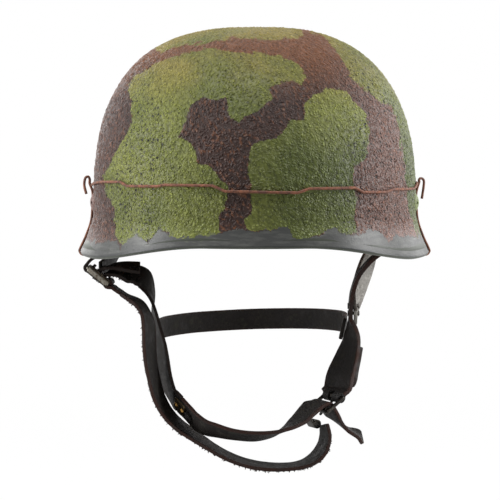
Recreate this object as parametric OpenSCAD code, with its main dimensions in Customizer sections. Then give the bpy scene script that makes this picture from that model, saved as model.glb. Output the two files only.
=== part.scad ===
// Paratrooper helmet: steel shell, banded leather liner, forked chin harness and camouflage wire.
// Millimetres, +Z up, brow towards -Y, origin at the centre of the opening on the rim's lowest line.

/* [Shell] */
// Half width of the dome above the skirt
shell_half_width = 111; // [105:0.5:118]
// Depth of the dome from its axis to the brow
shell_front_depth = 133; // [126:0.5:140]
// Depth of the dome from its axis to the nape
shell_rear_depth = 130; // [124:0.5:138]
// Height of the crown above the rim's lowest line
crown_height = 155.3; // [148:0.5:162]
// Height at which the dome turns into the skirt
skirt_height = 27; // [24:0.5:29]
// Thickness of the steel
steel_wall = 1.2; // [1:0.1:1.6]
// How far the skirt flares out at the sides
side_flare = 9; // [6:0.5:12]
// How far the skirt flares out at the brow
brow_flare = 4; // [2:0.5:7]
// How far the skirt flares out at the nape
nape_flare = 9; // [6:0.5:12]
// How far the rim rises at the middle of the brow
brow_rise = 11; // [6:0.5:14]
// Radius of the rolled rim
rim_roll_r = 1.7; // [1.5:0.1:2]

/* [Liner] */
// Space between the steel and the liner band
band_gap = 13; // [12:0.5:15]
// Thickness of the aluminium band
band_wall = 1.4; // [1:0.1:1.8]
// Height of the band
band_height = 30; // [28:1:34]
// Height of the band's lower edge
band_base = 20; // [18:0.5:21]
// Thickness of the rubber pads inside the band
pad_wall = 12; // [8:0.5:14]
// Thickness of the liner leather
liner_leather = 1.8; // [1.4:0.1:2.2]
// Space between the steel crown and the top of the leather dome
crown_space = 26; // [22:1:32]
// Diameter of the vent holes in the leather dome
vent_d = 14; // [8:0.5:16]
// Number of vent holes
vent_count = 12; // [8:2:14]

/* [Bolts] */
// Plan angle of the front bolts from the brow
front_bolt_angle = 81; // [78:1:84]
// Plan angle of the rear bolts from the brow
rear_bolt_angle = 115; // [112:1:118]
// Height of the bolts
bolt_height = 36; // [35:0.5:38]
// Diameter of the bolt heads
bolt_head_d = 13; // [11:0.5:14]
// Rise of the domed bolt heads
bolt_head_rise = 2.4; // [2:0.1:3]
// Diameter of the hollow bolt shanks
bolt_shank_d = 6.4; // [6:0.1:7]
// Diameter of the screws inside the bolts
screw_d = 4; // [3.5:0.1:4.5]
// Diameter of the rubber bushes between steel and straps
bush_d = 14; // [12:0.5:15]

/* [Harness] */
// Width of the harness straps
strap_w = 18; // [16:0.5:19]
// Thickness of the harness leather
strap_t = 2.6; // [2:0.1:3]
// Width of the loose lower strap
lower_w = 19; // [17:0.5:20]
// Diameter of the bars of the adjuster slide
slide_bar_d = 2; // [1.6:0.1:2.2]
// Distance between the bars of the adjuster slide
slide_pitch = 8.8; // [8.6:0.1:9.4]
// Wire diameter of the buckle frame
buckle_wire_d = 2.6; // [2.2:0.1:3]
// Distance between the two bars of the buckle
buckle_reach = 14; // [13.5:0.5:16]
// Wall of the buckle roller
roller_wall = 0.9; // [0.6:0.1:1]

/* [Wire] */
// Diameter of the camouflage wire
wire_d = 1.8; // [1.4:0.1:2.2]
// Space left for the rough paint between wire and shell
wire_gap = 0.35; // [0.3:0.05:0.6]

/* [Fits] */
// Clearance of a shank in its hole
hole_play = 0.2; // [0.15:0.05:0.3]
// Running clearance of a pin in its bore
pin_play = 0.06; // [0.03:0.01:0.09]
// Space between soft pieces that lie on each other
soft_gap = 0.3; // [0.2:0.05:0.4]

/* [Hidden] */
$fn = 48;

steel = [0.42, 0.47, 0.30];
bare_steel = [0.42, 0.44, 0.45];
hide = [0.20, 0.17, 0.15];
rust = [0.48, 0.28, 0.18];

dome_h = crown_height - skirt_height;
plan_power = 2.1;
side_power = 2.7;
brow_power = 2.5;
nape_power = 2.2;
flare_power = 1.3;
rise_start = 15;
rise_end = 65;
shell_around = 72;
shell_rows = 15;
skirt_rows = 5;
liner_around = 48;
liner_rows = 9;

// Basic functions
function ease(t) = let (c = min(1, max(0, t))) c * c * (3 - 2 * c);
function spow(v, e) = sign(v) * pow(abs(v), e);
function unit(v) = v / norm(v);
function turned(a) = let (m = (a % 360 + 360) % 360) m > 180 ? m - 360 : m;
function blend3(a, side, brow, nape) =
    let (k = pow(cos(a), 2)) side + ((cos(a) > 0 ? brow : nape) - side) * k;

// Plan of the helmet: a is measured from the brow towards +X
function plan_pt(a) = [
    shell_half_width * spow(sin(a), 2 / plan_power),
    -(cos(a) > 0 ? shell_front_depth : shell_rear_depth) * spow(cos(a), 2 / plan_power)];
function plan_out(a) =
    let (p = plan_pt(a), d = p.y < 0 ? shell_front_depth : shell_rear_depth)
    unit([spow(p.x / shell_half_width, plan_power - 1) / shell_half_width,
        spow(p.y / d, plan_power - 1) / d]);
function inset_pt(a, inset) = plan_pt(a) - inset * plan_out(a);
function rim_z(a) = brow_rise * (1 - ease((abs(turned(a)) - rise_start) / (rise_end - rise_start)));
function dome_power(a) = blend3(a, side_power, brow_power, nape_power);
function flare_at(a, q) = blend3(a, side_flare, brow_flare, nape_flare) * pow(q, flare_power);

// Points of the shell, offset inwards by inset
function dome_pt(a, t, inset) =
    let (n = dome_power(a), p = inset_pt(a, inset) * pow(cos(t), 2 / n))
    [p.x, p.y, skirt_height + (dome_h - inset) * pow(sin(t), 2 / n)];
function skirt_pt(a, q, inset, lift) =
    let (p = plan_pt(a) + (flare_at(a, q) - inset) * plan_out(a))
    [p.x, p.y, skirt_height + (rim_z(a) + lift - skirt_height) * q];
function roll_pt(a, turn) =
    let (p = plan_pt(a) + (flare_at(a, 1) - rim_roll_r * (1 - cos(turn))) * plan_out(a))
    [p.x, p.y, rim_z(a) + rim_roll_r * (1 - sin(turn))];
function side_pt(a, z, inset) =
    z > skirt_height
    ? let (n = dome_power(a), p = inset_pt(a, inset),
        k = pow(1 - pow((z - skirt_height) / (dome_h - inset), n), 1 / n))
        [p.x * k, p.y * k, z]
    : let (p = plan_pt(a)
        + (flare_at(a, (skirt_height - z) / (skirt_height - rim_z(a) - rim_roll_r)) - inset) * plan_out(a))
        [p.x, p.y, z];

// Closed skin through rows of points that start and end in a pole
module skin(first, rows, last) {
    n = len(rows[0]);
    m = len(rows);
    points = concat([first], [for (row = rows) each row], [last]);
    function at(i, j) = 1 + i * n + j % n;
    polyhedron(points, concat(
        [for (j = [0 : n - 1]) [0, at(0, j + 1), at(0, j)]],
        [for (i = [0 : m - 2], j = [0 : n - 1]) [at(i, j), at(i, j + 1), at(i + 1, j + 1)]],
        [for (i = [0 : m - 2], j = [0 : n - 1]) [at(i, j), at(i + 1, j + 1), at(i + 1, j)]],
        [for (j = [0 : n - 1]) [at(m - 1, j), at(m - 1, j + 1), 1 + m * n]]));
}

// Sweep of a flat section along stations of [x, y, z, wx, wy, wz], where w is the width direction
function spot(s) = [s[0], s[1], s[2]];
function lean(s) = [s[3], s[4], s[5]];
function curve(a, b, c, d, t) =
    0.5 * (2 * b + (c - a) * t + (2 * a - 5 * b + 4 * c - d) * t * t
        + (3 * b - a - 3 * c + d) * t * t * t);
function smooth_path(p, steps) =
    let (n = len(p))
    concat([for (i = [0 : n - 2], j = [0 : steps - 1])
        curve(p[max(i - 1, 0)], p[i], p[i + 1], p[min(i + 2, n - 1)], j / steps)], [p[n - 1]]);
function strap_section(w, t) =
    let (c = 0.25 * t, x = w / 2, y = t / 2)
    [[x, c - y], [x, y - c], [x - c, y], [c - x, y], [-x, y - c], [-x, c - y], [c - x, -y], [x - c, -y]];
function wire_section(d, sides) =
    [for (i = [0 : sides - 1]) d / 2 * [cos(360 * i / sides), sin(360 * i / sides)]];

module sweep(stations, section, closed = false, tip = 1) {
    n = len(stations);
    k = len(section);
    function next(i) = closed ? (i + 1) % n : min(i + 1, n - 1);
    function last(i) = closed ? (i + n - 1) % n : max(i - 1, 0);
    points = [for (i = [0 : n - 1])
        let (along = unit(spot(stations[next(i)]) - spot(stations[last(i)])),
            w = unit(lean(stations[i]) - (lean(stations[i]) * along) * along),
            up = cross(along, w), taper = i == n - 1 ? tip : 1)
        each [for (s = section) spot(stations[i]) + taper * s[0] * w + s[1] * up]];
    sides = [for (i = [0 : n - (closed ? 1 : 2)], j = [0 : k - 1])
        let (a = i * k, b = ((i + 1) % n) * k, e = (j + 1) % k)
        each [[a + j, b + j, b + e], [a + j, b + e, a + e]]];
    ends = closed ? [] : [[for (j = [0 : k - 1]) j], [for (j = [k - 1 : -1 : 0]) (n - 1) * k + j]];
    polyhedron(points, concat(sides, ends));
}

// Bolts: local +Z points out of the steel
bolt_angles = [-front_bolt_angle, front_bolt_angle, rear_bolt_angle, -rear_bolt_angle];
band_out = steel_wall + band_gap;
band_in = band_out + band_wall;
strap_in = band_out - 0.15 - strap_t / 2;
bolt_len = band_in - 0.3;
bolt_r = bolt_shank_d / 2;
screw_r = screw_d / 2;
module at_bolt(a) {
    p = plan_pt(a);
    out = plan_out(a);
    translate([p.x, p.y, bolt_height]) rotate([0, 90, atan2(out.y, out.x)]) children();
}
module bolt_holes(r) {
    for (a = bolt_angles) at_bolt(a) translate([0, 0, -band_in - 3]) cylinder(r = r, h = band_in + 6);
}

// Shell
module shell() {
    color(steel) difference() {
        turns = [for (j = [0 : shell_around - 1]) 360 * j / shell_around];
        tops = [for (i = [1 : shell_rows]) 90 * (1 - pow(i / shell_rows, 1.15))];
        skirts = [for (i = [1 : skirt_rows]) i / skirt_rows];
        outer = concat(
            [for (t = tops) [for (a = turns) dome_pt(a, t, 0)]],
            [for (q = skirts) [for (a = turns) skirt_pt(a, q, 0, rim_roll_r)]]);
        roll = [for (turn = [36 : 36 : 180]) [for (a = turns) roll_pt(a, turn)]];
        inner = concat(
            [for (i = [skirt_rows - 1 : -1 : 0]) let (q = skirts[i] - (i == skirt_rows - 1 ? 0.03 : 0))
                [for (a = turns) skirt_pt(a, q, steel_wall, 3 * rim_roll_r)]],
            [for (i = [shell_rows - 1 : -1 : 0]) [for (a = turns) dome_pt(a, tops[i], steel_wall)]]);
        skin([0, 0, crown_height], concat(outer, roll, inner), [0, 0, crown_height - steel_wall]);
        bolt_holes(bolt_r + hole_play);
    }
}

module spanner_bolts() {
    pin_hole_r = 1;
    pin_hole_x = 3.6;
    seat = 0.1;
    cap_r = (pow(bolt_head_d / 2, 2) + pow(bolt_head_rise, 2)) / (2 * bolt_head_rise);
    color(bare_steel) for (a = bolt_angles) at_bolt(a) difference() {
        union() {
            intersection() {
                translate([0, 0, seat + bolt_head_rise - cap_r]) sphere(r = cap_r);
                translate([0, 0, seat]) cylinder(d = bolt_head_d, h = bolt_head_rise + 1);
            }
            translate([0, 0, -bolt_len]) cylinder(r = bolt_r, h = bolt_len + seat + 0.5);
        }
        translate([0, 0, -bolt_len - 1]) cylinder(r = screw_r + 0.1, h = bolt_len);
        for (s = [-1, 1]) translate([0, s * pin_hole_x, seat + 0.8])
            cylinder(r = pin_hole_r, h = bolt_head_rise);
    }
}

module bolt_bushes() {
    seat = steel_wall + 0.6;
    color([0.12, 0.12, 0.12]) for (a = bolt_angles) at_bolt(a) difference() {
        bush_len = strap_in - strap_t / 2 - 0.15 - seat;
        translate([0, 0, -seat - bush_len]) cylinder(d = bush_d, h = bush_len);
        translate([0, 0, -seat - bush_len - 1]) cylinder(r = bolt_r + hole_play, h = bush_len + 2);
    }
}

module liner_screws() {
    head_r = 4.6;
    head_h = 1.8;
    slot_w = 1.1;
    screw_len = 9;
    color(bare_steel) for (a = bolt_angles) at_bolt(a) translate([0, 0, -band_in - 0.2]) difference() {
        union() {
            translate([0, 0, -head_h]) cylinder(r = head_r, h = head_h);
            cylinder(r = screw_r, h = screw_len);
        }
        translate([-head_r - 1, -slot_w / 2, -head_h - 0.1]) cube([2 * head_r + 2, slot_w, 0.9]);
    }
}

// Liner
module ring_plate(out, inside, z, h, from = 0, to = 360) {
    steps = from == 0 && to == 360 ? 120 : ceil((to - from) / 4);
    outer = [for (i = [0 : steps]) inset_pt(from + (to - from) * i / steps, out)];
    inner = [for (i = [steps : -1 : 0]) inset_pt(from + (to - from) * i / steps, inside)];
    translate([0, 0, z]) linear_extrude(h)
        if (to - from == 360) difference() {
            polygon([for (i = [0 : steps - 1]) outer[i]]);
            polygon([for (i = [0 : steps - 1]) inner[i]]);
        } else polygon(concat(outer, inner));
}

module liner_band() {
    color([0.62, 0.63, 0.62]) difference() {
        ring_plate(band_out, band_in, band_base, band_height);
        bolt_holes(bolt_r + hole_play);
    }
}

pad_out = band_in + soft_gap;
pad_in = pad_out + pad_wall;
lip_z = band_base - soft_gap;
module rubber_pads() {
    margin = 7;
    spans = [[-front_bolt_angle + margin, front_bolt_angle - margin],
        [front_bolt_angle + margin, rear_bolt_angle - margin],
        [rear_bolt_angle + margin, 360 - rear_bolt_angle - margin],
        [360 - rear_bolt_angle + margin, 360 - front_bolt_angle - margin]];
    color([0.16, 0.15, 0.14]) for (s = spans)
        ring_plate(pad_out, pad_in, band_base, band_height - 1, s[0], s[1]);
}

liner_out = pad_in + soft_gap;
liner_in = liner_out + liner_leather;
liner_edge = band_base + band_height - 2;
liner_top = crown_height - steel_wall - crown_space;
liner_power = 2.2;
function liner_pt(a, t, inset, top) =
    let (p = inset_pt(a, inset) * pow(cos(t), 2 / liner_power))
    [p.x, p.y, liner_edge + (top - liner_edge) * pow(sin(t), 2 / liner_power)];
function ring_at(turns, inset, z) = [for (a = turns) let (p = inset_pt(a, inset)) [p.x, p.y, z]];

module leather_liner() {
    turns = [for (j = [0 : liner_around - 1]) 360 * j / liner_around];
    tops = [for (i = [1 : liner_rows]) 90 * (1 - pow(i / liner_rows, 1.1))];
    vent_rise = 52;
    inner_top = liner_top - liner_leather;
    outer = [for (t = tops) [for (a = turns) liner_pt(a, t, liner_out, liner_top)]];
    lip_in = band_out + 0.1;
    lip_low = lip_z - liner_leather;
    lip = [ring_at(turns, liner_out, lip_z), ring_at(turns, lip_in, lip_z),
        ring_at(turns, lip_in, lip_low), ring_at(turns, liner_in, lip_low)];
    inner = [for (i = [liner_rows - 1 : -1 : 0])
        [for (a = turns) liner_pt(a, tops[i], liner_in, inner_top)]];
    color([0.55, 0.40, 0.26]) difference() {
        skin([0, 0, liner_top], concat(outer, lip, inner), [0, 0, inner_top]);
        for (i = [0 : vent_count - 1]) {
            a = 360 * (i + 0.5) / vent_count;
            p = liner_pt(a, vent_rise, liner_out, liner_top);
            r = norm([p.x, p.y]);
            translate(p) rotate([0, atan2(r, p.z - liner_edge), atan2(p.y, p.x)]) rotate(17)
                cylinder(d = vent_d, h = 16, center = true);
        }
    }
}

// Camouflage wire: kinks as [angle from the brow, height]
wire_kinks = [[-86, 47.5], [-66, 51], [-51, 52], [-47, 49.5], [-33, 50], [-30, 51], [-13, 51], [-9, 47.5],
    [13, 46.5], [17, 49], [34, 49], [37.5, 46], [49, 45.5], [53, 47], [73, 46], [84, 49],
    [100, 49], [130, 48], [160, 47], [177, 46.5], [183, 48.5], [200, 49], [230, 50], [258, 49]];
wire_out = wire_gap + wire_d / 2;
function wire_station(a, z) =
    let (p = side_pt(a, z, -wire_out)) [p.x, p.y, p.z, 0, 0, 1];
wire_sides = 8;

module belt_wire() {
    n = len(wire_kinks);
    stations = [for (i = [0 : n - 1])
        let (from = wire_kinks[i], to = i == n - 1 ? wire_kinks[0] + [360, 0] : wire_kinks[i + 1],
            steps = ceil((to[0] - from[0]) / 6))
        each [for (j = [0 : steps - 1]) let (k = from + (to - from) * j / steps) wire_station(k[0], k[1])]];
    color(rust) sweep(stations, wire_section(wire_d, wire_sides), closed = true);
}

// Hook of bent wire: curls under the rolled rim, runs up the shell and loops over the belt wire
module rim_hook(a, belt_z, leg_end) {
    out = plan_out(a);
    base = plan_pt(a);
    across = [-out.y, out.x, 0];
    reach = wire_out + wire_d + 0.3;
    rim = flare_at(a, 1);
    roll = rim_roll_r + wire_out;
    low = rim_z(a) + rim_roll_r;
    function hook_pt(o, z, slip) =
        let (p = base + o * out) concat([p.x, p.y, z] + slip * across, across);
    function shell_out(z) = (side_pt(a, z, 0) - [base.x, base.y, z]) * [out.x, out.y, 0];
    curl = [for (turn = [190 : -35 : -20])
        hook_pt(rim - rim_roll_r + roll * cos(turn), low - roll * sin(turn), 0)];
    rise = [for (z = [12, 22, 32, 42]) hook_pt(shell_out(z) + wire_out, z, 0)];
    loop = shell_out(belt_z) + reach;
    over = [hook_pt(loop, belt_z, 0), hook_pt(loop, belt_z + 4, 0.8),
        hook_pt(loop + 0.8, belt_z + 6.4, 1.8), hook_pt(loop + 2.6, belt_z + 5.4, 2.8)];
    leg = [hook_pt(loop + 3, belt_z - 1, 3), hook_pt(loop + 2.2, leg_end, 3.2)];
    color(rust) sweep(concat(curl, rise, over, leg), wire_section(wire_d, wire_sides));
}
module rim_hook_right() rim_hook(-90, 48, 37);
module rim_hook_left() rim_hook(90, 49, 35);
module rim_hook_rear() rim_hook(178, 47, 36);

// Harness: top stations of a strap that hangs from a bolt
function hang(a) =
    let (p = inset_pt(a, strap_in), o = plan_out(a), w = a > 0 ? [o.y, -o.x, 0] : [-o.y, o.x, 0])
    [for (z = [bolt_height + 11, bolt_height, band_base + 6, lip_z - liner_leather - 0.5])
        concat([p.x, p.y, z], w)];
module strap(stations, w = strap_w, t = strap_t, tip = 1) {
    sweep(stations, strap_section(w, t), tip = tip);
}
front = [0, -1, 0];
function route(points) = [for (p = points) concat(p[0], p[1])];

// Adjuster slide frame: x along the slide, z out of its face
slide_at = [-106.5, -20, -14];
slide_tilt = 39;
slide_half = strap_w / 2 + 1.4 + slide_bar_d / 2;
function on_slide(along, up) =
    slide_at + along * [cos(slide_tilt), 0, -sin(slide_tilt)] + up * [sin(slide_tilt), 0, cos(slide_tilt)];
wrap_r = slide_bar_d / 2 + soft_gap + strap_t / 2 - 0.25;
function slide_pt(along, up) = concat(on_slide(along, up), front);
function slide_wrap(along, from, to) =
    [for (i = [0 : 5]) let (turn = from + (to - from) * i / 5)
        slide_pt(along + wrap_r * cos(turn), wrap_r * sin(turn))];
wrap_t = strap_t - 0.5;

module adjuster_slide() {
    color([0.50, 0.49, 0.46]) translate(slide_at) rotate([0, slide_tilt, 0]) {
        for (x = [-1, 0, 1]) translate([x * slide_pitch, 0, 0]) rotate([90, 0, 0])
            cylinder(d = slide_bar_d, h = 2 * slide_half, center = true);
        for (y = [-1, 1]) translate([0, y * slide_half, 0]) {
            rotate([0, 90, 0]) cylinder(d = slide_bar_d, h = 2 * slide_pitch, center = true);
            for (x = [-1, 1]) translate([x * slide_pitch, 0, 0]) sphere(d = slide_bar_d);
        }
    }
}

module hanger_strap() {
    stations = concat(hang(-front_bolt_angle), route([[[-100.5, -20, 9.5], front], [[-107, -20, 2.6], front]]),
        [slide_pt(-slide_pitch - wrap_r + 0.2, 4.4)], slide_wrap(-slide_pitch, 176, 350),
        [slide_pt(-slide_pitch + wrap_r, 3.4)]);
    color(hide) difference() {
        strap(smooth_path(stations, 2), t = wrap_t);
        bolt_holes(bolt_r + hole_play);
    }
}

module rear_strap_right() {
    slide_side = slide_at.y + slide_half + slide_bar_d / 2 + soft_gap;
    stations = concat(hang(-rear_bolt_angle), route([
        [[-92, 48, 8], [0, -0.9, 0.3]], [[-98, 36, -4], [0, -0.75, 0.65]],
        [[-103, 19, -10], [0, -0.4, 0.9]], [[-105.8, 3, -12.5], [0, -0.1, 1]],
        [[-106.5, slide_side, -13], [0, 0, 1]]]));
    color(hide) difference() {
        strap(smooth_path(stations, 3), w = strap_w - 3);
        bolt_holes(bolt_r + hole_play);
    }
}

clasp_at = [-49.2, -38, -102];
clasp_dir = unit([0.585, -0.608, -0.54]);
clasp_face = unit(cross(cross(clasp_dir, [-0.64, -0.58, -0.47]), clasp_dir));
clasp_w = cross(clasp_face, clasp_dir);
module on_frame(at, w, face, dir) {
    multmatrix([[w.x, face.x, dir.x, at.x], [w.y, face.y, dir.y, at.y],
        [w.z, face.z, dir.z, at.z], [0, 0, 0, 1]]) children();
}
module at_clasp() on_frame(clasp_at, -clasp_w, clasp_face, clasp_dir) children();

module cheek_strap_right() {
    stations = concat(route([[[-78.5, -17, -9.2], [0, -0.96, -0.3]], [[-90.5, -18, -8.2], [0, -0.98, -0.2]]]),
        [slide_pt(2.5, 8.8), slide_pt(-1.4, 4.6)], slide_wrap(0, 165, 355), [slide_pt(3.2, 3), slide_pt(7, 6.4)],
        route([[[-90, -15, -15], [0, -0.95, -0.3]], [[-83.5, -12, -14.6], [0, -0.8, -0.6]],
        [[-76.5, -9.5, -17.2], [-0.4, -0.8, -0.45]], [[-71.8, -7.5, -26.5], [-0.2, -0.98, -0.1]], [[-69.5, -8, -39], [0.15, -1, 0]], [[-67.6, -10, -53], [0.35, -0.93, 0]],
        [[-65, -15, -67], [0.5, -0.85, 0]], [[-61.4, -22, -83], [0.45, -0.85, 0.15]],
        [clasp_at - 10 * clasp_dir, clasp_w], [clasp_at - 6 * clasp_dir, clasp_w],
        [clasp_at - 0.15 * clasp_dir, clasp_w]]));
    color(hide) difference() {
        strap(smooth_path(stations, 2), t = wrap_t);
        at_clasp() clasp_bores();
    }
}

// Clasp that joins the right cheek strap and the chin strap
clasp_len = 12;
clasp_width = 11;
clasp_plate_t = 1.2;
rivet_r = 1.2;
rivet_pitch = 3.4;
clasp_lift = strap_t / 2 + 0.1;
module clasp_bores() {
    for (z = [-1, 1]) translate([0, 0, z * rivet_pitch]) rotate([90, 0, 0])
        cylinder(r = rivet_r + 0.1, h = 12, center = true);
}
module clasp_plate() {
    color([0.45, 0.43, 0.40]) at_clasp() difference() {
        translate([0, clasp_lift + clasp_plate_t, 0]) rotate([90, 0, 0]) linear_extrude(clasp_plate_t)
            offset(r = 2) square([clasp_width - 4, clasp_len - 4], center = true);
        clasp_bores();
    }
}
module clasp_rivets() {
    color([0.70, 0.52, 0.28]) at_clasp() for (z = [-1, 1]) translate([0, 0, z * rivet_pitch]) {
        rivet_len = strap_t + clasp_plate_t + 0.6;
        translate([0, -strap_t / 2 - 0.2, 0]) rotate([-90, 0, 0]) cylinder(r = rivet_r, h = rivet_len);
        translate([0, clasp_lift + clasp_plate_t + 0.1, 0]) rotate([-90, 0, 0])
            cylinder(r1 = 2.1, r2 = 1.2, h = 1);
        translate([0, -strap_t / 2 - 0.1, 0]) rotate([90, 0, 0]) cylinder(r = 2.1, h = 0.7);
    }
}
module clasp_tongue() {
    tongue_t = 1.6;
    tongue_r = 3.6;
    color([0.15, 0.15, 0.15]) at_clasp() translate([0, clasp_lift + 0.15, clasp_len / 2 + tongue_r + 0.4])
        rotate([-90, 0, 0]) {
            cylinder(r = tongue_r, h = tongue_t);
            translate([0, 0, tongue_t]) cylinder(r1 = 1.9, r2 = 1.4, h = 1.2);
        }
}

// Roller buckle: x along its bars, y out of its face, z towards the chin
buckle_at = [48.4, -37, -100.2];
buckle_dir = unit([-0.702, -0.451, -0.551]);
buckle_face = unit(cross(cross(buckle_dir, [0.6, 0.42, -0.6]), buckle_dir));
buckle_w = cross(buckle_dir, buckle_face);
fixed_bar = -8;
roller_bar = fixed_bar + buckle_reach;
buckle_r = buckle_wire_d / 2;
roller_r = buckle_r + pin_play + roller_wall;
buckle_half = strap_w / 2 + 1.2;
function on_buckle(w, y, z) = buckle_at + w * buckle_w + y * buckle_face + z * buckle_dir;
module at_buckle() on_frame(buckle_at, buckle_w, buckle_face, buckle_dir) children();
module bar_x(z, r, h) {
    translate([0, 0, z]) rotate([0, 90, 0]) cylinder(r = r, h = h, center = true);
}

fold_in = buckle_r + 0.3;
fold_out = fold_in + 2;
prong_eye_w = 3.2;
module buckle_fold() {
    color(hide) at_buckle() difference() {
        union() {
            bar_x(fixed_bar, fold_out, strap_w - 1);
            translate([0, 0, fixed_bar - 2.2]) cube([strap_w - 1, strap_t, 4.4], center = true);
        }
        bar_x(fixed_bar, fold_in, strap_w);
        translate([0, 0, fixed_bar + 1.5])
            cube([prong_eye_w + 1, 3 * fold_out, 2 * fold_out + 3], center = true);
    }
}
module buckle_frame() {
    color(bare_steel) at_buckle() {
        for (z = [fixed_bar, roller_bar]) {
            bar_x(z, buckle_r, 2 * buckle_half);
            for (x = [-1, 1]) translate([x * buckle_half, 0, z]) sphere(r = buckle_r);
        }
        for (x = [-1, 1]) translate([x * buckle_half, 0, fixed_bar]) cylinder(r = buckle_r, h = buckle_reach);
    }
}
module buckle_roller() {
    color([0.50, 0.48, 0.45]) at_buckle() difference() {
        roller_len = 2 * (buckle_half - buckle_r - 0.1);
        bar_x(roller_bar, roller_r, roller_len);
        bar_x(roller_bar, buckle_r + pin_play, roller_len + 2);
    }
}
prong_r = 0.9;
module buckle_prong() {
    eye_r = buckle_r + 1.1;
    rise = roller_r + prong_r + 0.15 - 1.7;
    color([0.45, 0.43, 0.40]) at_buckle() difference() {
        union() {
            bar_x(fixed_bar, eye_r, prong_eye_w);
            translate([0, 1.7, fixed_bar + 0.6]) rotate([-atan2(rise, buckle_reach - 0.6), 0, 0]) {
                cylinder(r = prong_r, h = buckle_reach + 0.9);
                translate([0, 0, buckle_reach + 0.9]) sphere(r = prong_r);
            }
        }
        bar_x(fixed_bar, buckle_r + pin_play, prong_eye_w + 2);
    }
}

// Chin strap: from the clasp under the chin, below the roller and out through the buckle
chin_low = -(roller_r + strap_t / 2 + 0.5);
tab_start = 10.3;
tip_gap = 0.55;
function buckled(y, z) = [on_buckle(0, y, z), buckle_w];
module chin_strap() {
    clasped = route([for (on = [0.15, 6, 12, 17]) [clasp_at + on * clasp_dir, clasp_w]]);
    under = route([
        [[-33.2, -51.3, -114.4], [0.05, -0.75, 0.65]], [[-26, -53.6, -116.1], [0.02, -0.8, 0.58]],
        [[-13.2, -56.9, -118.6], [0, -0.88, 0.47]], [[0.2, -58, -119.6], [0, -0.9, 0.43]],
        [[13.4, -56.8, -118], [0.15, -0.95, 0.3]], [[23, -53.4, -114.4], [0.35, -0.92, 0.12]],
        buckled(chin_low, 24.5), buckled(chin_low, 19.5), buckled(chin_low, 13.5),
        buckled(chin_low, roller_bar + 1),
        buckled(chin_low + 0.9, 3), buckled(-1.4, 0.6), buckled(2.5, 0), buckled(tab_start, 0)]);
    color(hide) difference() {
        strap(smooth_path(concat(clasped, under), 3), w = strap_w - 1);
        at_clasp() clasp_bores();
        at_buckle() translate([0, 5, 0]) cube([prong_eye_w + 0.6, 8.8, 8], center = true);
    }
}
module strap_tip() {
    stations = route([buckled(tab_start + tip_gap, 0), buckled(15.5, -0.9), buckled(23, -3.4),
        buckled(31, -7), buckled(39, -11.6)]);
    color(hide) strap(smooth_path(stations, 3), w = strap_w - 1, tip = 0.45);
}

left_front = smooth_path(concat(hang(front_bolt_angle), route(concat([[[95.5, -20, 10], front],
    [[89, -20, 3.5], front], [[79.5, -19.5, -4], front],
    [[71.6, -17, -14], front], [[67.8, -14, -25], front], [[66.5, -11, -35], front],
    [[66.5, -9, -45], front], [[66.9, -10.5, -54], [0.38, -0.92, 0]],
    [[66.7, -13, -61], [0.55, -0.83, 0]], [[65.2, -17, -69], [0.62, -0.78, 0]],
    [[62.9, -22, -78], [0.64, -0.77, -0.03]], [[61.7, -25, -83], [0.62, -0.78, -0.03]],
    [[60.9, -27.4, -87.4], [0.59, -0.81, -0.03]]],
    [for (back = [8.5, 5.4]) [on_buckle(0, 0, fixed_bar - back), buckle_w]]))), 3);
module front_strap_left() {
    color(hide) difference() {
        strap(left_front, w = strap_w - 1);
        bolt_holes(bolt_r + hole_play);
        junction_bores();
    }
}
module rear_strap_left() {
    stations = concat(hang(rear_bolt_angle), route([
        [[88.5, 49, 8], [0, -0.95, 0.2]], [[84, 39, -2], [0, -0.85, 0.5]], [[78, 25, -14], [0, -0.8, 0.6]],
        [[72.8, 11, -27], [0, -0.8, 0.6]], [[70.2, 0.5, -37], [0, -0.8, 0.6]],
        [[70, -7, -44.5], [0, -0.8, 0.6]]]));
    color([0.42, 0.41, 0.38]) difference() {
        strap(smooth_path(stations, 3), w = strap_w - 2);
        bolt_holes(bolt_r + hole_play);
        junction_bores();
    }
}
rivet_spots = [[-5, -36.5], [-6, -41.5]];
module junction_bores() {
    for (p = rivet_spots) translate([60, p[0], p[1]]) rotate([0, 90, 0])
        cylinder(r = rivet_r + 0.1, h = 16);
}
module junction_rivets() {
    color([0.70, 0.52, 0.28]) for (p = rivet_spots) translate([64.5, p[0], p[1]]) rotate([0, 90, 0]) {
        cylinder(r = rivet_r, h = 7.6);
        cylinder(r = 2.1, h = 0.5);
        translate([0, 0, 7.2]) cylinder(r1 = 2.3, r2 = 1.4, h = 1);
    }
}

// Closing flap on the left cheek strap, held by a snap stud; it follows the strap's own stations
function heading(p, i) = unit(spot(p[min(i + 1, len(p) - 1)]) - spot(p[max(i - 1, 0)]));
function side_of(p, i) = let (d = heading(p, i)) unit(lean(p[i]) - (lean(p[i]) * d) * d);
function lifted(p, from, to, lift, stand_off = 0) =
    [for (i = [from : to])
        let (raise = lift + (i - from) * stand_off)
        concat(spot(p[i]) - raise * cross(heading(p, i), side_of(p, i)), side_of(p, i))];
flap_t = 2;
flap_w = strap_w - 5;
flap_lift = strap_t / 2 + soft_gap + flap_t / 2;
flap_first = 39;
flap_last = 49;
flap_dir = heading(left_front, flap_first);
flap_side = side_of(left_front, flap_first);
flap_face = -cross(flap_dir, flap_side);
flap_at = spot(left_front[flap_first]);
module at_flap() on_frame(flap_at, -flap_side, flap_face, flap_dir) children();
stud_z = -3.6;
module stud_patch() {
    color(hide) difference() {
        strap(lifted(left_front, flap_first - 2, flap_first, flap_lift + 0.2), w = flap_w, t = flap_t);
        at_flap() translate([0, 0, stud_z]) rotate([-90, 0, 0]) cylinder(r = rivet_r + 0.1, h = 12);
        at_flap() translate([0, 0, 0.3]) cube([2 * flap_w, 14, 1.4], center = true);
    }
}
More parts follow.
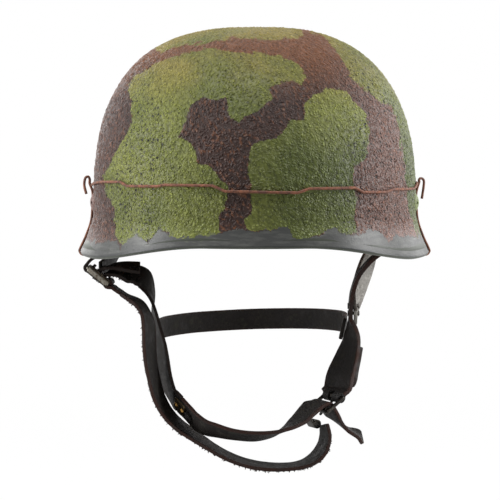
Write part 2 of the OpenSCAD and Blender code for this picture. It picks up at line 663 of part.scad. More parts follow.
module snap_stud() {
    color([0.30, 0.29, 0.28]) at_flap() translate([0, 0, stud_z]) rotate([-90, 0, 0]) {
        translate([0, 0, strap_t / 2 + 0.25]) cylinder(r = rivet_r, h = flap_lift + 1.1);
        translate([0, 0, flap_lift + flap_t / 2 + 0.65]) cylinder(r1 = 3.8, r2 = 2.6, h = 1.5);
    }
}
module closing_flap() {
    color(hide) strap(lifted(left_front, flap_first, flap_last, flap_lift + 0.1, 0.09),
        w = flap_w, t = flap_t, tip = 0.6);
}

// Rolled sheet hook that takes the left end of the lower strap
hook_y = 5.6;
hook_z = 15;
hook_r = 3;
module hook_plate() {
    sheet = 1;
    plate_y = chin_low + strap_t / 2 + 0.25;
    color([0.45, 0.43, 0.40]) at_buckle() difference() {
        union() {
            translate([0, hook_y, 0]) bar_x(hook_z, hook_r, 8);
            translate([-4, plate_y, hook_z - 1]) cube([8, sheet, 4]);
            translate([-4, plate_y, hook_z + 2]) cube([8, hook_y - plate_y, sheet]);
        }
        translate([0, hook_y, 0]) bar_x(hook_z, hook_r - sheet, 12);
    }
}

// Loose lower strap
lower_start = [-93, -20.8, -24.8];
lower_end = [47.6, -44, -116.8];
swing_axis = unit(lower_end - lower_start);
module lower_strap_end() {
    wrapped = slide_wrap(slide_pitch, 30, 278);
    stations = concat(wrapped,
        route([for (back = [5, 2.6, soft_gap]) [lower_start - back * swing_axis, front]]));
    color(hide) strap(smooth_path(stations, 2), w = lower_w - 1, t = wrap_t);
}
module lower_strap() {
    stations = route([[lower_start, front], [lower_start + 2.5 * swing_axis, front],
        [lower_start + 5 * swing_axis, front], [[-79.6, -25.8, -32.5], [-0.17, -0.98, -0.05]],
        [[-74.4, -27.8, -39.5], [-0.24, -0.97, 0]], [[-72.2, -29.5, -48], [-0.35, -0.93, 0.05]],
        [[-71.7, -32, -61], [-0.36, -0.93, 0.06]], [[-70.7, -34, -73], [-0.34, -0.94, 0.05]],
        [[-67.9, -36, -85.9], [-0.32, -0.94, 0.02]], [[-65.1, -38.2, -95.6], [-0.3, -0.95, -0.05]],
        [[-59.4, -39.7, -106.1], [-0.25, -0.96, -0.1]], [[-51.2, -41.6, -114.5], [-0.2, -0.97, -0.14]],
        [[-42.3, -42.5, -120.6], [-0.15, -0.97, -0.14]], [[-27.6, -44.5, -130], [-0.1, -0.99, -0.08]],
        [[-15.5, -45.5, -136.2], [-0.06, -0.99, -0.08]], [[-2.8, -46.5, -140.2], [0, -0.99, -0.08]],
        [[10.4, -47, -142], [0, -0.99, -0.06]], [[23, -47, -141.9], [0.02, -0.99, -0.04]],
        [[32, -46.8, -140.4], [0.12, -0.98, -0.05]], [[38.6, -46.5, -137.4], [0.25, -0.95, -0.06]],
        [[43.6, -46, -133], [0.31, -0.94, -0.05]], [[46.8, -45.4, -127.3], [0.31, -0.95, -0.02]],
        [[48, -44.7, -121.5], [0.31, -0.95, 0.05]], [lower_end, [0.3, -0.94, 0.1]]]);
    color(hide) strap(smooth_path(stations, 3), w = lower_w, tip = 0.5);
}

module nape_strap() {
    up = [0, 0, 1];
    stations = route([[[61.2, -4.5, -52.5], [0.2, 0, 1]], [[61.6, 3.5, -52.3], [0.2, 0, 1]], [[63, 14, -52], [0.1, 0, 1]],
        [[64.5, 30, -51.8], up], [[60.5, 50, -52], up], [[46, 69, -52.5], up], [[24, 80, -53.2], up],
        [[0, 84, -54], up], [[-24, 80, -54.8], up], [[-46, 69, -55.4], up],
        [[-62, 50, -56], up], [[-67, 30, -56], up], [[-68, 14, -55.6], up],
        [[-67.2, 3, -55.3], up], [[-66, -5, -55], up]]);
    color(hide) strap(smooth_path(stations, 3), w = strap_w - 3);
}

shell();
spanner_bolts();
bolt_bushes();
liner_screws();
liner_band();
rubber_pads();
leather_liner();
belt_wire();
rim_hook_right();
rim_hook_left();
rim_hook_rear();
hanger_strap();
rear_strap_right();
adjuster_slide();
cheek_strap_right();
clasp_plate();
clasp_rivets();
clasp_tongue();
chin_strap();
strap_tip();
front_strap_left();
rear_strap_left();
junction_rivets();
stud_patch();
snap_stud();
closing_flap();
buckle_fold();
buckle_frame();
buckle_prong();
buckle_roller();
hook_plate();
lower_strap_end();
lower_strap();
nape_strap();
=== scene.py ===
import math
import bpy
import numpy as np
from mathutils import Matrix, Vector, noise


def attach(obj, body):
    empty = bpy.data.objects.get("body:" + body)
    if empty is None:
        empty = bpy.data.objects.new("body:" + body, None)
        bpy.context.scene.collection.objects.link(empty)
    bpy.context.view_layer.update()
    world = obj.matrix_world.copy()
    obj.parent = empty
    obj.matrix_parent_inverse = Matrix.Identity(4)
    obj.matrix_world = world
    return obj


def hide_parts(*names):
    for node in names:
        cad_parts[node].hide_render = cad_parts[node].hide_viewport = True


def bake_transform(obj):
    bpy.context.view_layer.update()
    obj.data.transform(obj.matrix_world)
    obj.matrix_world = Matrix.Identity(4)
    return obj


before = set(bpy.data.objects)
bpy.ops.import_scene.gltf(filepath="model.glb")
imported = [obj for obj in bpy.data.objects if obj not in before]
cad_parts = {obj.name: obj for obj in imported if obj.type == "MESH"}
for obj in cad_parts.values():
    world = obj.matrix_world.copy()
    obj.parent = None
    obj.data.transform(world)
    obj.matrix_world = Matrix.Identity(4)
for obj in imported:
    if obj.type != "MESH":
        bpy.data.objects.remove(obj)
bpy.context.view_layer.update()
mm = 0.001
print("helmet: frame loaded")


# ---- small helpers

def linearColour(hexValue):
    parts = [int(hexValue[i:i + 2], 16) / 255 for i in (1, 3, 5)]
    return [c / 12.92 if c <= 0.04045 else ((c + 0.055) / 1.055) ** 2.4 for c in parts] + [1.0]


def feed(tree, socket, value):  # another node's output, a plain value or an sRGB tone
    if isinstance(value, bpy.types.NodeSocket):
        tree.links.new(value, socket)
    else:
        socket.default_value = linearColour(value) if isinstance(value, str) else value


def addNode(tree, kind, inputs=None, **settings):
    node = tree.nodes.new("ShaderNode" + kind)
    for name, value in settings.items():
        setattr(node, name, value)
    for socket, value in (inputs or {}).items():
        feed(tree, node.inputs[socket], value)
    return node


def newMaterial(name):
    material = bpy.data.materials.new(name)
    material.use_nodes = True
    tree = material.node_tree
    return material, tree, tree.nodes["Principled BSDF"], addNode(tree, "TexCoord").outputs["Object"]


def grey(value):
    return [value, value, value, 1.0]


def noiseAt(tree, coords, sizeMm, detail=2.0, roughness=0.5):
    return addNode(tree, "TexNoise", {"Vector": coords, "Scale": 1 / (sizeMm * mm), "Detail": detail,
                                      "Roughness": roughness}).outputs["Fac"]


def cellsAt(tree, coords, sizeMm, feature="F1"):
    return addNode(tree, "TexVoronoi", {"Vector": coords, "Scale": 1 / (sizeMm * mm)}, feature=feature).outputs


def splitAxes(tree, vector):
    return addNode(tree, "SeparateXYZ", {0: vector}).outputs


def storedValue(tree, name):
    return addNode(tree, "Attribute", attribute_name=name).outputs["Fac"]


def spread(tree, value, low, high, to0=0.0, to1=1.0):
    return addNode(tree, "MapRange", {"Value": value, "From Min": low, "From Max": high,
                                      "To Min": to0, "To Max": to1}).outputs[0]


def blendColour(tree, factor, a, b, how="MIX"):
    return addNode(tree, "Mix", {0: factor, 6: a, 7: b}, data_type="RGBA", blend_type=how).outputs[2]


def maths(tree, how, a, b=0.0):
    return addNode(tree, "Math", {0: a, 1: b}, operation=how).outputs[0]


def plus(tree, a, b):
    return maths(tree, "ADD", a, b)


def times(tree, a, b):
    return maths(tree, "MULTIPLY", a, b)


def applyLook(tree, surface, tone, roughness):
    feed(tree, surface.inputs["Base Color"], tone)
    feed(tree, surface.inputs["Roughness"], roughness)


def applyBump(tree, surface, height, strength, depthMm):
    bump = addNode(tree, "Bump", {"Height": height, "Strength": strength, "Distance": depthMm * mm})
    tree.links.new(bump.outputs[0], surface.inputs["Normal"])


def clearSelection():
    if bpy.context.object and bpy.context.object.mode != "OBJECT":
        bpy.ops.object.mode_set(mode="OBJECT")
    bpy.ops.object.select_all(action="DESELECT")


def onlyActive(piece):
    clearSelection()
    piece.select_set(True)
    bpy.context.view_layer.objects.active = piece


def settle(piece):
    onlyActive(piece)
    bpy.ops.object.transform_apply(location=True, rotation=True, scale=True)


def useModifier(piece, kind, **settings):
    onlyActive(piece)
    modifier = piece.modifiers.new(kind.lower(), kind)
    for name, value in settings.items():
        setattr(modifier, name, value)
    bpy.ops.object.modifier_apply(modifier=modifier.name)


def finishPiece(piece, material, slot, replaced=(), body="helmet", smooth=40):
    piece.data.name = piece.name
    piece.data.materials.clear()
    piece.data.materials.append(material)
    onlyActive(piece)
    if smooth is None:
        bpy.ops.object.shade_smooth()
    else:
        bpy.ops.object.shade_smooth_by_angle(angle=math.radians(smooth))
    if body:
        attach(piece, body)
    if replaced:
        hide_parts(*replaced)
    return piece


def editWhole(piece, *steps):  # mesh operators with their settings, run on the whole piece
    onlyActive(piece)
    bpy.ops.object.mode_set(mode="EDIT")
    bpy.ops.mesh.select_all(action="SELECT")
    for step, settings in steps:
        step(**settings)
    bpy.ops.object.mode_set(mode="OBJECT")


def fixNormals(piece):
    editWhole(piece, (bpy.ops.mesh.normals_make_consistent, {"inside": False}))


def readPoints(piece, what="co"):
    values = np.empty(len(piece.data.vertices) * 3)
    piece.data.vertices.foreach_get(what, values)
    return values.reshape(-1, 3)


def movePoints(piece, points):  # points in millimetres
    piece.data.vertices.foreach_set("co", (points * mm).ravel())
    piece.data.update()


def copyOfNode(node, name):
    clearSelection()
    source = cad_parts[node]
    piece = source.copy()
    piece.name = name
    piece.data = source.data.copy()
    for key in list(piece.keys()):
        del piece[key]
    piece.parent = None
    piece.matrix_world.identity()
    bpy.context.scene.collection.objects.link(piece)
    editWhole(piece, (bpy.ops.mesh.remove_doubles, {"threshold": 0.02 * mm}),
              (bpy.ops.mesh.tris_convert_to_quads, {}))
    return piece


def unit(v):
    v = np.asarray(v, float)
    return v / np.linalg.norm(v)


# ---- the helmet's own form, the same curves as the steel

helmet = {"halfWidth": 111.0, "front": 133.0, "rear": 130.0, "crown": 155.3, "skirt": 27.0,
          "wall": 1.2, "flares": (9.0, 4.0, 9.0), "flarePower": 1.3, "browRise": 11.0,
          "riseFrom": 15.0, "riseTo": 65.0, "roll": 1.7, "planPower": 2.1, "powers": (2.7, 2.5, 2.2)}


def signedPower(value, power):
    return math.copysign(abs(value) ** power, value)


def planPoint(turn):
    depth = helmet["front"] if math.cos(turn) > 0 else helmet["rear"]
    power = 2 / helmet["planPower"]
    return (helmet["halfWidth"] * signedPower(math.sin(turn), power),
            -depth * signedPower(math.cos(turn), power))


def planOut(turn):
    x, y = planPoint(turn)
    depth = helmet["front"] if y < 0 else helmet["rear"]
    power = helmet["planPower"] - 1
    nx = signedPower(x / helmet["halfWidth"], power) / helmet["halfWidth"]
    ny = signedPower(y / depth, power) / depth
    size = math.hypot(nx, ny)
    return nx / size, ny / size


def roundTheHelmet(turn, three):
    share = math.cos(turn) ** 2
    return three[0] + ((three[1] if math.cos(turn) > 0 else three[2]) - three[0]) * share


def rimHeight(turn):
    degrees = abs((math.degrees(turn) + 180) % 360 - 180)
    t = min(1, max(0, (degrees - helmet["riseFrom"]) / (helmet["riseTo"] - helmet["riseFrom"])))
    return helmet["browRise"] * (1 - t * t * (3 - 2 * t))


def domePoint(turn, lift, inset):
    power = roundTheHelmet(turn, helmet["powers"])
    x, y = planPoint(turn)
    nx, ny = planOut(turn)
    k = math.cos(lift) ** (2 / power)
    height = helmet["crown"] - helmet["skirt"] - inset
    return ((x - inset * nx) * k, (y - inset * ny) * k,
            helmet["skirt"] + height * math.sin(lift) ** (2 / power))


def skirtPoint(turn, down, inset, lift):
    x, y = planPoint(turn)
    nx, ny = planOut(turn)
    reach = roundTheHelmet(turn, helmet["flares"]) * down ** helmet["flarePower"] - inset
    return (x + nx * reach, y + ny * reach,
            helmet["skirt"] + (rimHeight(turn) + lift - helmet["skirt"]) * down)


def rollPoint(turn, roundRim):
    x, y = planPoint(turn)
    nx, ny = planOut(turn)
    reach = roundTheHelmet(turn, helmet["flares"]) - helmet["roll"] * (1 - math.cos(roundRim))
    return (x + nx * reach, y + ny * reach, rimHeight(turn) + helmet["roll"] * (1 - math.sin(roundRim)))


# ---- camera, set as the photograph was taken

view = {"aimX": -3.1, "aimZ": 2.0, "distance": 1500.0, "rise": 3.6, "width": 347.0}
rise = math.radians(view["rise"])
camera = bpy.data.objects.new("camera", bpy.data.cameras.new("camera"))
bpy.context.scene.collection.objects.link(camera)
camera.location = Vector((view["aimX"], -view["distance"] * math.cos(rise),
                          view["aimZ"] + view["distance"] * math.sin(rise))) * mm
camera.rotation_euler = (math.pi / 2 - rise, 0, 0)
camera.data.sensor_fit = "HORIZONTAL"
camera.data.angle = 2 * math.atan(view["width"] / 2 / view["distance"])
camera.data.clip_start = 0.05
camera.data.clip_end = 60
bpy.context.scene.camera = camera


def seenAt(x, y, z):  # where a point falls on the front view, in millimetres at the helmet's middle plane
    depth = y * math.cos(rise) + view["distance"] - (z - view["aimZ"]) * math.sin(rise)
    up = y * math.sin(rise) + (z - view["aimZ"]) * math.cos(rise)
    return (view["aimX"] + view["distance"] * (x - view["aimX"]) / depth,
            view["aimZ"] + view["distance"] * up / depth)


# ---- camouflage: where the green was brushed on, as outlines of the front view in millimetres, (across, up)

greenOutlines = [
    [(-61, 135), (-34, 142), (14, 137), (27, 133), (36, 122), (32, 118), (19, 118), (11, 114), (12, 107),
     (-2, 97), (-11, 90), (-18, 96), (-19, 106), (-36, 107), (-45, 103), (-50, 87), (-52, 81), (-45, 77),
     (-41, 68), (-40, 62), (-32, 60), (-19, 48), (-18, 39), (-25, 26), (-25, 15), (-45, 4), (-67, 2),
     (-57, 14), (-66, 17), (-74, 7), (-82, 12), (-91, 5), (-96, 9), (-97, 31), (-104, 44), (-104, 53),
     (-95, 72), (-84, 92), (-87, 109), (-88, 117), (-84, 123), (-73, 129)],
    [(59, 115), (64, 111), (69, 106), (75, 100), (78, 93), (80, 82), (78, 69), (76, 64), (69, 60),
     (68, 50), (71, 41), (70, 26), (70, 15), (64, 12), (56, 17), (45, 14), (34, 8), (27, 12), (23, 17),
     (14, 17), (3, 15), (-4, 17), (-7, 23), (-2, 29), (-2, 39), (-4, 50), (-4, 60), (-3, 71), (0, 76),
     (7, 78), (16, 79), (19, 85), (25, 93), (34, 92), (36, 98), (36, 104), (41, 109), (48, 111), (51, 114)],
    [(39, 153), (51, 148), (57, 141), (61, 131), (66, 123), (70, 117), (77, 112), (88, 103), (93, 103),
     (98, 93), (100, 84), (102, 71), (104, 58), (106, 42), (107, 29), (110, 20), (114, 12), (126, 12),
     (126, 92), (101, 141), (52, 160)],
    [(-66, 139), (-50, 144), (-32, 146), (-16, 149), (11, 148), (27, 148), (33, 150), (32, 162),
     (-17, 166), (-79, 148)]]
paintEdge = [(-135, 7), (-118, 8), (-107, 8), (-97, 8), (-93, 4), (-88, 8), (-82, 13), (-77, 9),
             (-74, 6), (-70, 12), (-66, 17), (-60, 14), (-54, 12), (-45, 10), (-25, 15), (-13, 17),
             (-4, 17), (3, 14), (14, 17), (23, 17), (27, 12), (34, 8), (45, 13), (56, 17), (64, 12),
             (70, 14), (84, 16), (93, 8), (98, 12), (113, 12), (129, 10)]


def outlineDistance(points, outline):  # signed, positive inside
    points = np.asarray(points, float)
    a = np.asarray(outline, float)
    b = np.roll(a, -1, axis=0)
    nearest = np.full(len(points), 1e9)
    inside = np.zeros(len(points), bool)
    for (ax, ay), (bx, by) in zip(a, b):
        dx, dy = bx - ax, by - ay
        t = np.clip(((points[:, 0] - ax) * dx + (points[:, 1] - ay) * dy) / (dx * dx + dy * dy), 0, 1)
        nearest = np.minimum(nearest, np.hypot(points[:, 0] - ax - t * dx, points[:, 1] - ay - t * dy))
        if ay != by:
            crossing = (ay > points[:, 1]) != (by > points[:, 1])
            side = points[:, 0] < ax + (points[:, 1] - ay) * dx / (by - ay)
            inside ^= crossing & side
    return np.where(inside, nearest, -nearest)


def setAttribute(piece, name, values):
    attribute = piece.data.attributes.new(name, "FLOAT", "POINT")
    attribute.data.foreach_set("value", np.asarray(values, np.float32))


# ---- steel shell

shellSet = {"around": 600, "domeRows": 118, "skirtRows": 20, "rollRows": 8, "innerRows": 14,
            "grain": 0.6, "grainSize": 1.6, "fineShare": 0.8, "fineSize": 0.6, "grainBase": 0.3,
            "sandedFrom": 0.5, "sandedOver": 9, "sandedLeast": 0.08, "dents": 0.3, "dentSize": 34.0}


def evenLifts(rows):  # lifts from crown to skirt, evenly spaced along the steel
    fine = np.linspace(89.99, 0, 4000)
    line = np.array([domePoint(math.radians(60), math.radians(t), 0) for t in fine])
    run = np.concatenate([[0], np.cumsum(np.linalg.norm(np.diff(line, axis=0), axis=1))])
    return list(np.interp(np.linspace(0, run[-1], rows + 1)[1:], run, fine))


def shellRows():
    rows = [("dome", t) for t in evenLifts(shellSet["domeRows"])]
    rows += [("skirt", i / shellSet["skirtRows"]) for i in range(1, shellSet["skirtRows"] + 1)]
    rows += [("roll", 180 * i / shellSet["rollRows"]) for i in range(1, shellSet["rollRows"] + 1)]
    rows += [("inside", 0.97), ("inside", 0.75), ("inside", 0.5), ("inside", 0.25)]
    rows += [("within", t) for t in evenLifts(shellSet["innerRows"])[::-1]]
    return rows


def shellPoint(kind, value, turn):
    if kind == "dome":
        return domePoint(turn, math.radians(value), 0)
    if kind == "skirt":
        return skirtPoint(turn, value, 0, helmet["roll"])
    if kind == "roll":
        return rollPoint(turn, math.radians(value))
    if kind == "inside":
        return skirtPoint(turn, value, helmet["wall"], 3 * helmet["roll"])
    return domePoint(turn, math.radians(value), helmet["wall"])


def roundSkin(name, rows, around, placeAt, top, bottom):  # rows of points between two poles, from a globe's grid
    clearSelection()
    bpy.ops.mesh.primitive_uv_sphere_add(segments=around, ring_count=len(rows) + 1, radius=1)
    piece = bpy.context.object
    coords = readPoints(piece)
    ringOf = np.rint((np.arccos(np.clip(coords[:, 2], -1, 1)) / math.pi) * (len(rows) + 1)).astype(int)
    columnOf = np.rint((np.arctan2(coords[:, 1], coords[:, 0]) / (2 * math.pi) % 1) * around).astype(int) % around
    grid = [[placeAt(kind, value, 2 * math.pi * (j + 0.5) / around) for j in range(around)]
            for kind, value in rows]
    for i in range(len(coords)):
        ring = ringOf[i]
        coords[i] = top if ring == 0 else bottom if ring > len(rows) else grid[ring - 1][columnOf[i]]
    movePoints(piece, coords)
    piece.name = name
    return piece, coords, ringOf


shellRowList = shellRows()
shell, shellCoords, shellRing = roundSkin(
    "steelShell", shellRowList, shellSet["around"], shellPoint,
    (0, 0, helmet["crown"]), (0, 0, helmet["crown"] - helmet["wall"]))
outerRings = shellSet["domeRows"] + shellSet["skirtRows"]
isOuter = shellRing <= outerRings
fixNormals(shell)

seen = np.array([seenAt(*p) for p in shellCoords])
frontGreen = np.max([outlineDistance(seen, outline) for outline in greenOutlines], axis=0)
frontPaint = seen[:, 1] - np.interp(seen[:, 0], [p[0] for p in paintEdge], [p[1] for p in paintEdge])
rims = np.array([rimHeight(math.atan2(x, -y)) for x, y, z in shellCoords])
aboveRim = shellCoords[:, 2] - rims


# how many mm each noise reaches, and its scale per mm
rearSet = {"noiseSeed": 1795726903, "seed": 5.2, "warp": (14, 0.02), "patch": (34, 0.0165), "lobe": (7, 0.05),
           "bareBand": 17, "wave": (6.4, 0.06), "ripple": (2.2, 0.17), "seamFrom": -8, "seamWidth": 34}


def noiseReach(name, spot, offset=(0, 0, 0)):
    reach, scale = rearSet[name]
    return reach * noise.noise(spot * scale + Vector(offset))


def patches(p, seed):  # the rear's brush strokes, of the same size as the front's
    reach, scale = rearSet["warp"]
    spot = Vector(p) + noise.noise_vector(Vector(p) * scale + Vector((seed, 3, 7))) * reach
    return noiseReach("patch", spot, (seed, 11.3, 4.1)) + noiseReach("lobe", spot, (2, seed, 9))


noise.seed_set(rearSet["noiseSeed"])   # unseeded, noise_vector would differ from run to run
rearGreen = np.array([patches(p, rearSet["seed"]) for p in shellCoords])
rearPaint = np.array([z - rearSet["bareBand"] - noiseReach("wave", Vector((x, y, 0)))
                      - noiseReach("ripple", Vector((x, y, 40))) for (x, y, z) in shellCoords])
toRear = np.clip((shellCoords[:, 1] - rearSet["seamFrom"]) / rearSet["seamWidth"], 0, 1)
toRear = toRear * toRear * (3 - 2 * toRear)
green = frontGreen * (1 - toRear) + rearGreen * toRear
painted = frontPaint * (1 - toRear) + rearPaint * toRear
setAttribute(shell, "greenReach", green)
setAttribute(shell, "paintReach", np.where(isOuter, painted, -20))
setAttribute(shell, "aboveRim", aboveRim)
setAttribute(shell, "innerSide", np.where(isOuter, 0.0, 1.0))

normals = readPoints(shell, "normal")
push = np.zeros(len(shellCoords))
grainUp = np.zeros(len(shellCoords))
for i, p in enumerate(shellCoords):
    if isOuter[i]:
        spot = Vector(p)
        # the sawdust was laid on above the rim band
        sanded = (painted[i] - shellSet["sandedFrom"]) / shellSet["sandedOver"]
        sanded = min(1, max(shellSet["sandedLeast"], sanded))
        fineSpot = spot / (shellSet["fineSize"] * shellSet["grainSize"]) + Vector((9, 4, 2))
        grainUp[i] = noise.noise(spot / shellSet["grainSize"]) + shellSet["fineShare"] * noise.noise(fineSpot)
        push[i] = (shellSet["grain"] * sanded * (shellSet["grainBase"] + grainUp[i])
                   + shellSet["dents"] * noise.noise(spot / shellSet["dentSize"]))
setAttribute(shell, "grainUp", grainUp)
movePoints(shell, shellCoords + normals * push[:, None])
print("helmet: shell formed,", len(shell.data.polygons), "faces")


def makePaint():
    # camouflage oil paint brushed over sawdust: half matt, with 1 to 2 mm grains that glint, their glints partly a
    # painted highlight, and black pits between, partly painted shade
    hue = {
        "green": "#6a7230", "greenLight": "#848940", "greenDeep": "#4b5722", "brown": "#3c241c",
        "brownRed": "#74482c", "brownPink": "#805f55", "topTan": "#9a8040", "blackPitAndShade": "#14120f", "bare": "#3a3b3a",
        "bareLight": "#6b6c68", "bareDark": "#1d1f20", "inner": "#3b3f37", "paintedGlint": "#b9b08c"}
    material, tree, surface, place = newMaterial("roughCamouflagePaint")
    reach = storedValue(tree, "greenReach")
    paint = storedValue(tree, "paintReach")
    rim = storedValue(tree, "aboveRim")
    grainUp = storedValue(tree, "grainUp")
    inner = storedValue(tree, "innerSide")
    axes = splitAxes(tree, place)
    wide = noiseAt(tree, place, 45, 2)
    lobes = noiseAt(tree, place, 9, 3)
    fine = noiseAt(tree, place, 1.5, 2)
    grain = noiseAt(tree, place, 2.6, 2, 0.6)          # sawdust grains, 1 to 2 mm across
    bead = 0.0
    for size, share, missing in ((1.9, 0.6, 0.2), (1.1, 0.4, 0.3)):
        beads = cellsAt(tree, place, size)
        raised = spread(tree, beads["Distance"], 0.12, 0.55, share, 0.0)
        kept = addNode(tree, "SeparateColor", {0: beads["Color"]}).outputs[1]
        bead = plus(tree, times(tree, raised, spread(tree, kept, missing, missing + 0.3)), bead)

    def brushEdge(value, byLobes, byFine):  # uneven by about 1 mm as a brush leaves it
        value = plus(tree, value, spread(tree, lobes, 0.3, 0.7, -byLobes, byLobes))
        return plus(tree, value, spread(tree, fine, 0.3, 0.7, -byFine, byFine))

    isGreen = spread(tree, brushEdge(reach, 1.6, 0.6), -0.3, 0.3)
    drift = spread(tree, wide, 0.38, 0.64)
    greenTone = blendColour(tree, drift, hue["green"], hue["greenLight"])
    rightSide = spread(tree, axes["X"], -0.012, 0.02)
    lowSide = spread(tree, axes["Z"], 0.10, 0.07)
    deeper = times(tree, times(tree, rightSide, lowSide), 0.75)
    greenTone = blendColour(tree, deeper, greenTone, hue["greenDeep"])
    high = times(tree, spread(tree, axes["Z"], 0.1, 0.135), spread(tree, wide, 0.35, 0.6, 0.1, 0.6))
    greenTone = blendColour(tree, high, greenTone, hue["topTan"])
    brownTone = blendColour(tree, spread(tree, axes["Z"], 0.105, 0.135), hue["brown"], hue["brownRed"])
    for inward, outward, share in ((0.045, 0.085, 0.85), (-0.075, -0.11, 0.35)):
        bySide = times(tree, spread(tree, axes["X"], inward, outward), share)
        brownTone = blendColour(tree, bySide, brownTone, hue["brownPink"])
    tone = blendColour(tree, isGreen, brownTone, greenTone)
    # painted shade darkens the hollows between the grains and a painted highlight lightens their tops; here and
    # there a pit goes down to black, partly a real dark pit and partly painted shade, most on the sides
    for reliefShadeAndHighlight in (spread(tree, bead, 0.0, 0.9, 0.57, 1.32), spread(tree, grainUp, -0.5, 0.45, 0.73, 1.26)):
        tone = blendColour(tree, 1.0, tone, reliefShadeAndHighlight, "MULTIPLY")
    ruddy = times(tree, spread(tree, grainUp, 0.15, 0.5, 0.0, 0.5), maths(tree, "SUBTRACT", 1.0, isGreen))
    tone = blendColour(tree, ruddy, tone, hue["brownRed"])
    # painted highlight: a pale glint mixed onto the highest grains
    tone = blendColour(tree, spread(tree, plus(tree, bead, grainUp), 1.0, 1.4, 0.0, 0.3), tone, hue["paintedGlint"])
    pits = cellsAt(tree, place, 3.6)
    pitHere = maths(tree, "GREATER_THAN", addNode(tree, "SeparateColor", {0: pits["Color"]}).outputs[0], 0.5)
    pitWhere = noiseAt(tree, place, 30, 2)
    pitsAndShade = times(tree, spread(tree, pits["Distance"], 0.25, 0.17), pitHere)
    # black pits: real dark pits, laid thicker on the sides as painted shade in the crevices seen edge-on
    onSides = times(tree, spread(tree, maths(tree, "ABSOLUTE", axes["X"]), 0.045, 0.085), 0.6)
    pitShare = plus(tree, pitWhere, onSides)
    pitsAndShade = times(tree, pitsAndShade, spread(tree, pitShare, 0.44, 0.8))
    tone = blendColour(tree, pitsAndShade, tone, hue["blackPitAndShade"])
    dustAndShade = spread(tree, noiseAt(tree, place, 1.25, 1, 0.5), 0.56, 0.64, 0.0, 0.75)   # dust in the grain, and painted shade, thicker on the sides
    tone = blendColour(tree, times(tree, dustAndShade, spread(tree, pitShare, 0.5, 0.85)), tone, hue["blackPitAndShade"])
    # worn steel-grey band along the rim, brushed round it
    isPaint = spread(tree, brushEdge(paint, 2.2, 1.0), -0.25, 0.25)
    brushed = addNode(tree, "Mapping", {"Vector": place, "Scale": (1, 1, 5)}).outputs[0]
    streaks = noiseAt(tree, brushed, 16, 5, 0.6)
    bareTone = blendColour(tree, spread(tree, streaks, 0.45, 0.75, 0.0, 0.6), hue["bare"], hue["bareLight"])
    bareTone = blendColour(tree, spread(tree, rim, 2.4, 0.9, 0.0, 0.85), bareTone, hue["bareDark"])
    rubbed = times(tree, spread(tree, streaks, 0.52, 0.6), spread(tree, paint, -7, -2, 0.0, 0.55))
    bareTone = blendColour(tree, times(tree, rubbed, isGreen), bareTone, hue["green"])
    tone = blendColour(tree, isPaint, bareTone, tone)
    tone = blendColour(tree, inner, tone, hue["inner"])
    applyLook(tree, surface, tone, spread(tree, isPaint, 0, 1, 0.42, 0.46))
    # grain depth fades out towards the brushed band below the wire
    sanded = spread(tree, paint, 0.0, 0.014 / mm, 0.25, 1.0)
    height = plus(tree, times(tree, grain, 0.35), times(tree, bead, 0.9))
    height = maths(tree, "SUBTRACT", height, times(tree, pitsAndShade, 0.5))
    outside = maths(tree, "SUBTRACT", 1.0, inner)
    depth = times(tree, times(tree, sanded, outside), spread(tree, isPaint, 0, 1, 0.12, 1.0))
    height = times(tree, height, depth)
    applyBump(tree, surface, height, 1.0, 2.0)
    surface.inputs["Specular IOR Level"].default_value = 0.28
    return material


finishPiece(shell, makePaint(), "shell_paint", ["shell"], smooth=60)
print("helmet: paint mixed")


# ---- leather, from the flesh side's brown to the worn grey face

def makeLeather(name, face, worn, deep, edgeTone, wornShare, roughness=0.55, grainMm=0.9):
    # vegetable-tanned strap leather, aged: dark waxed face, scuffs, fine cracks across it, reddish cut edges
    material, tree, surface, place = newMaterial(name)
    wide = noiseAt(tree, place, 22, 3)
    scuff = noiseAt(tree, place, 5.5, 4, 0.65)
    pores = cellsAt(tree, place, grainMm)["Distance"]
    cracks = cellsAt(tree, place, 4.2, "DISTANCE_TO_EDGE")["Distance"]
    tone = blendColour(tree, spread(tree, wide, 0.35, 0.65), face, deep)
    tone = blendColour(tree, spread(tree, scuff, 0.52, 0.72, 0.0, wornShare), tone, worn)
    atEdge = storedValue(tree, "cutEdge")
    tone = blendColour(tree, times(tree, atEdge, spread(tree, scuff, 0.35, 0.6, 0.35, 1.0)), tone, edgeTone)
    applyLook(tree, surface, tone, spread(tree, scuff, 0.3, 0.7, roughness - 0.1, roughness + 0.2))
    height = plus(tree, times(tree, pores, 0.25), spread(tree, cracks, 0.0, 0.06, 0.0, 0.25))
    height = plus(tree, height, times(tree, scuff, 0.5))
    applyBump(tree, surface, height, 0.8, 0.45)
    surface.inputs["Specular IOR Level"].default_value = 0.2
    return material


strapLeather = makeLeather("agedStrapLeather", "#191513", "#3a3931", "#100d0c", "#2e1b15", 0.5, 0.66)
darkLeather = makeLeather("blackWaxedLeather", "#151211", "#2c2b26", "#0e0c0b", "#211713", 0.45, 0.66)
greyLeather = makeLeather("wornGreyLeather", "#8b8883", "#aeaba5", "#6d6a65", "#5b544e", 0.8, 0.6)
linerLeather = makeLeather("softLinerLeather", "#7c5a3b", "#9a7a57", "#5d4029", "#6a4a30", 0.6, 0.6, 1.4)


def makeThread():
    # twisted linen thread, dark with wax and handling
    material, tree, surface, place = newMaterial("waxedLinenThread")
    twist = noiseAt(tree, place, 0.8, 2)
    applyLook(tree, surface, blendColour(tree, spread(tree, twist, 0.35, 0.65), "#1c1a19", "#47433e"), 0.7)
    return material


thread = makeThread()


# ---- straps: a flat grid laid along its stations, thickened, its edges rounded and frayed

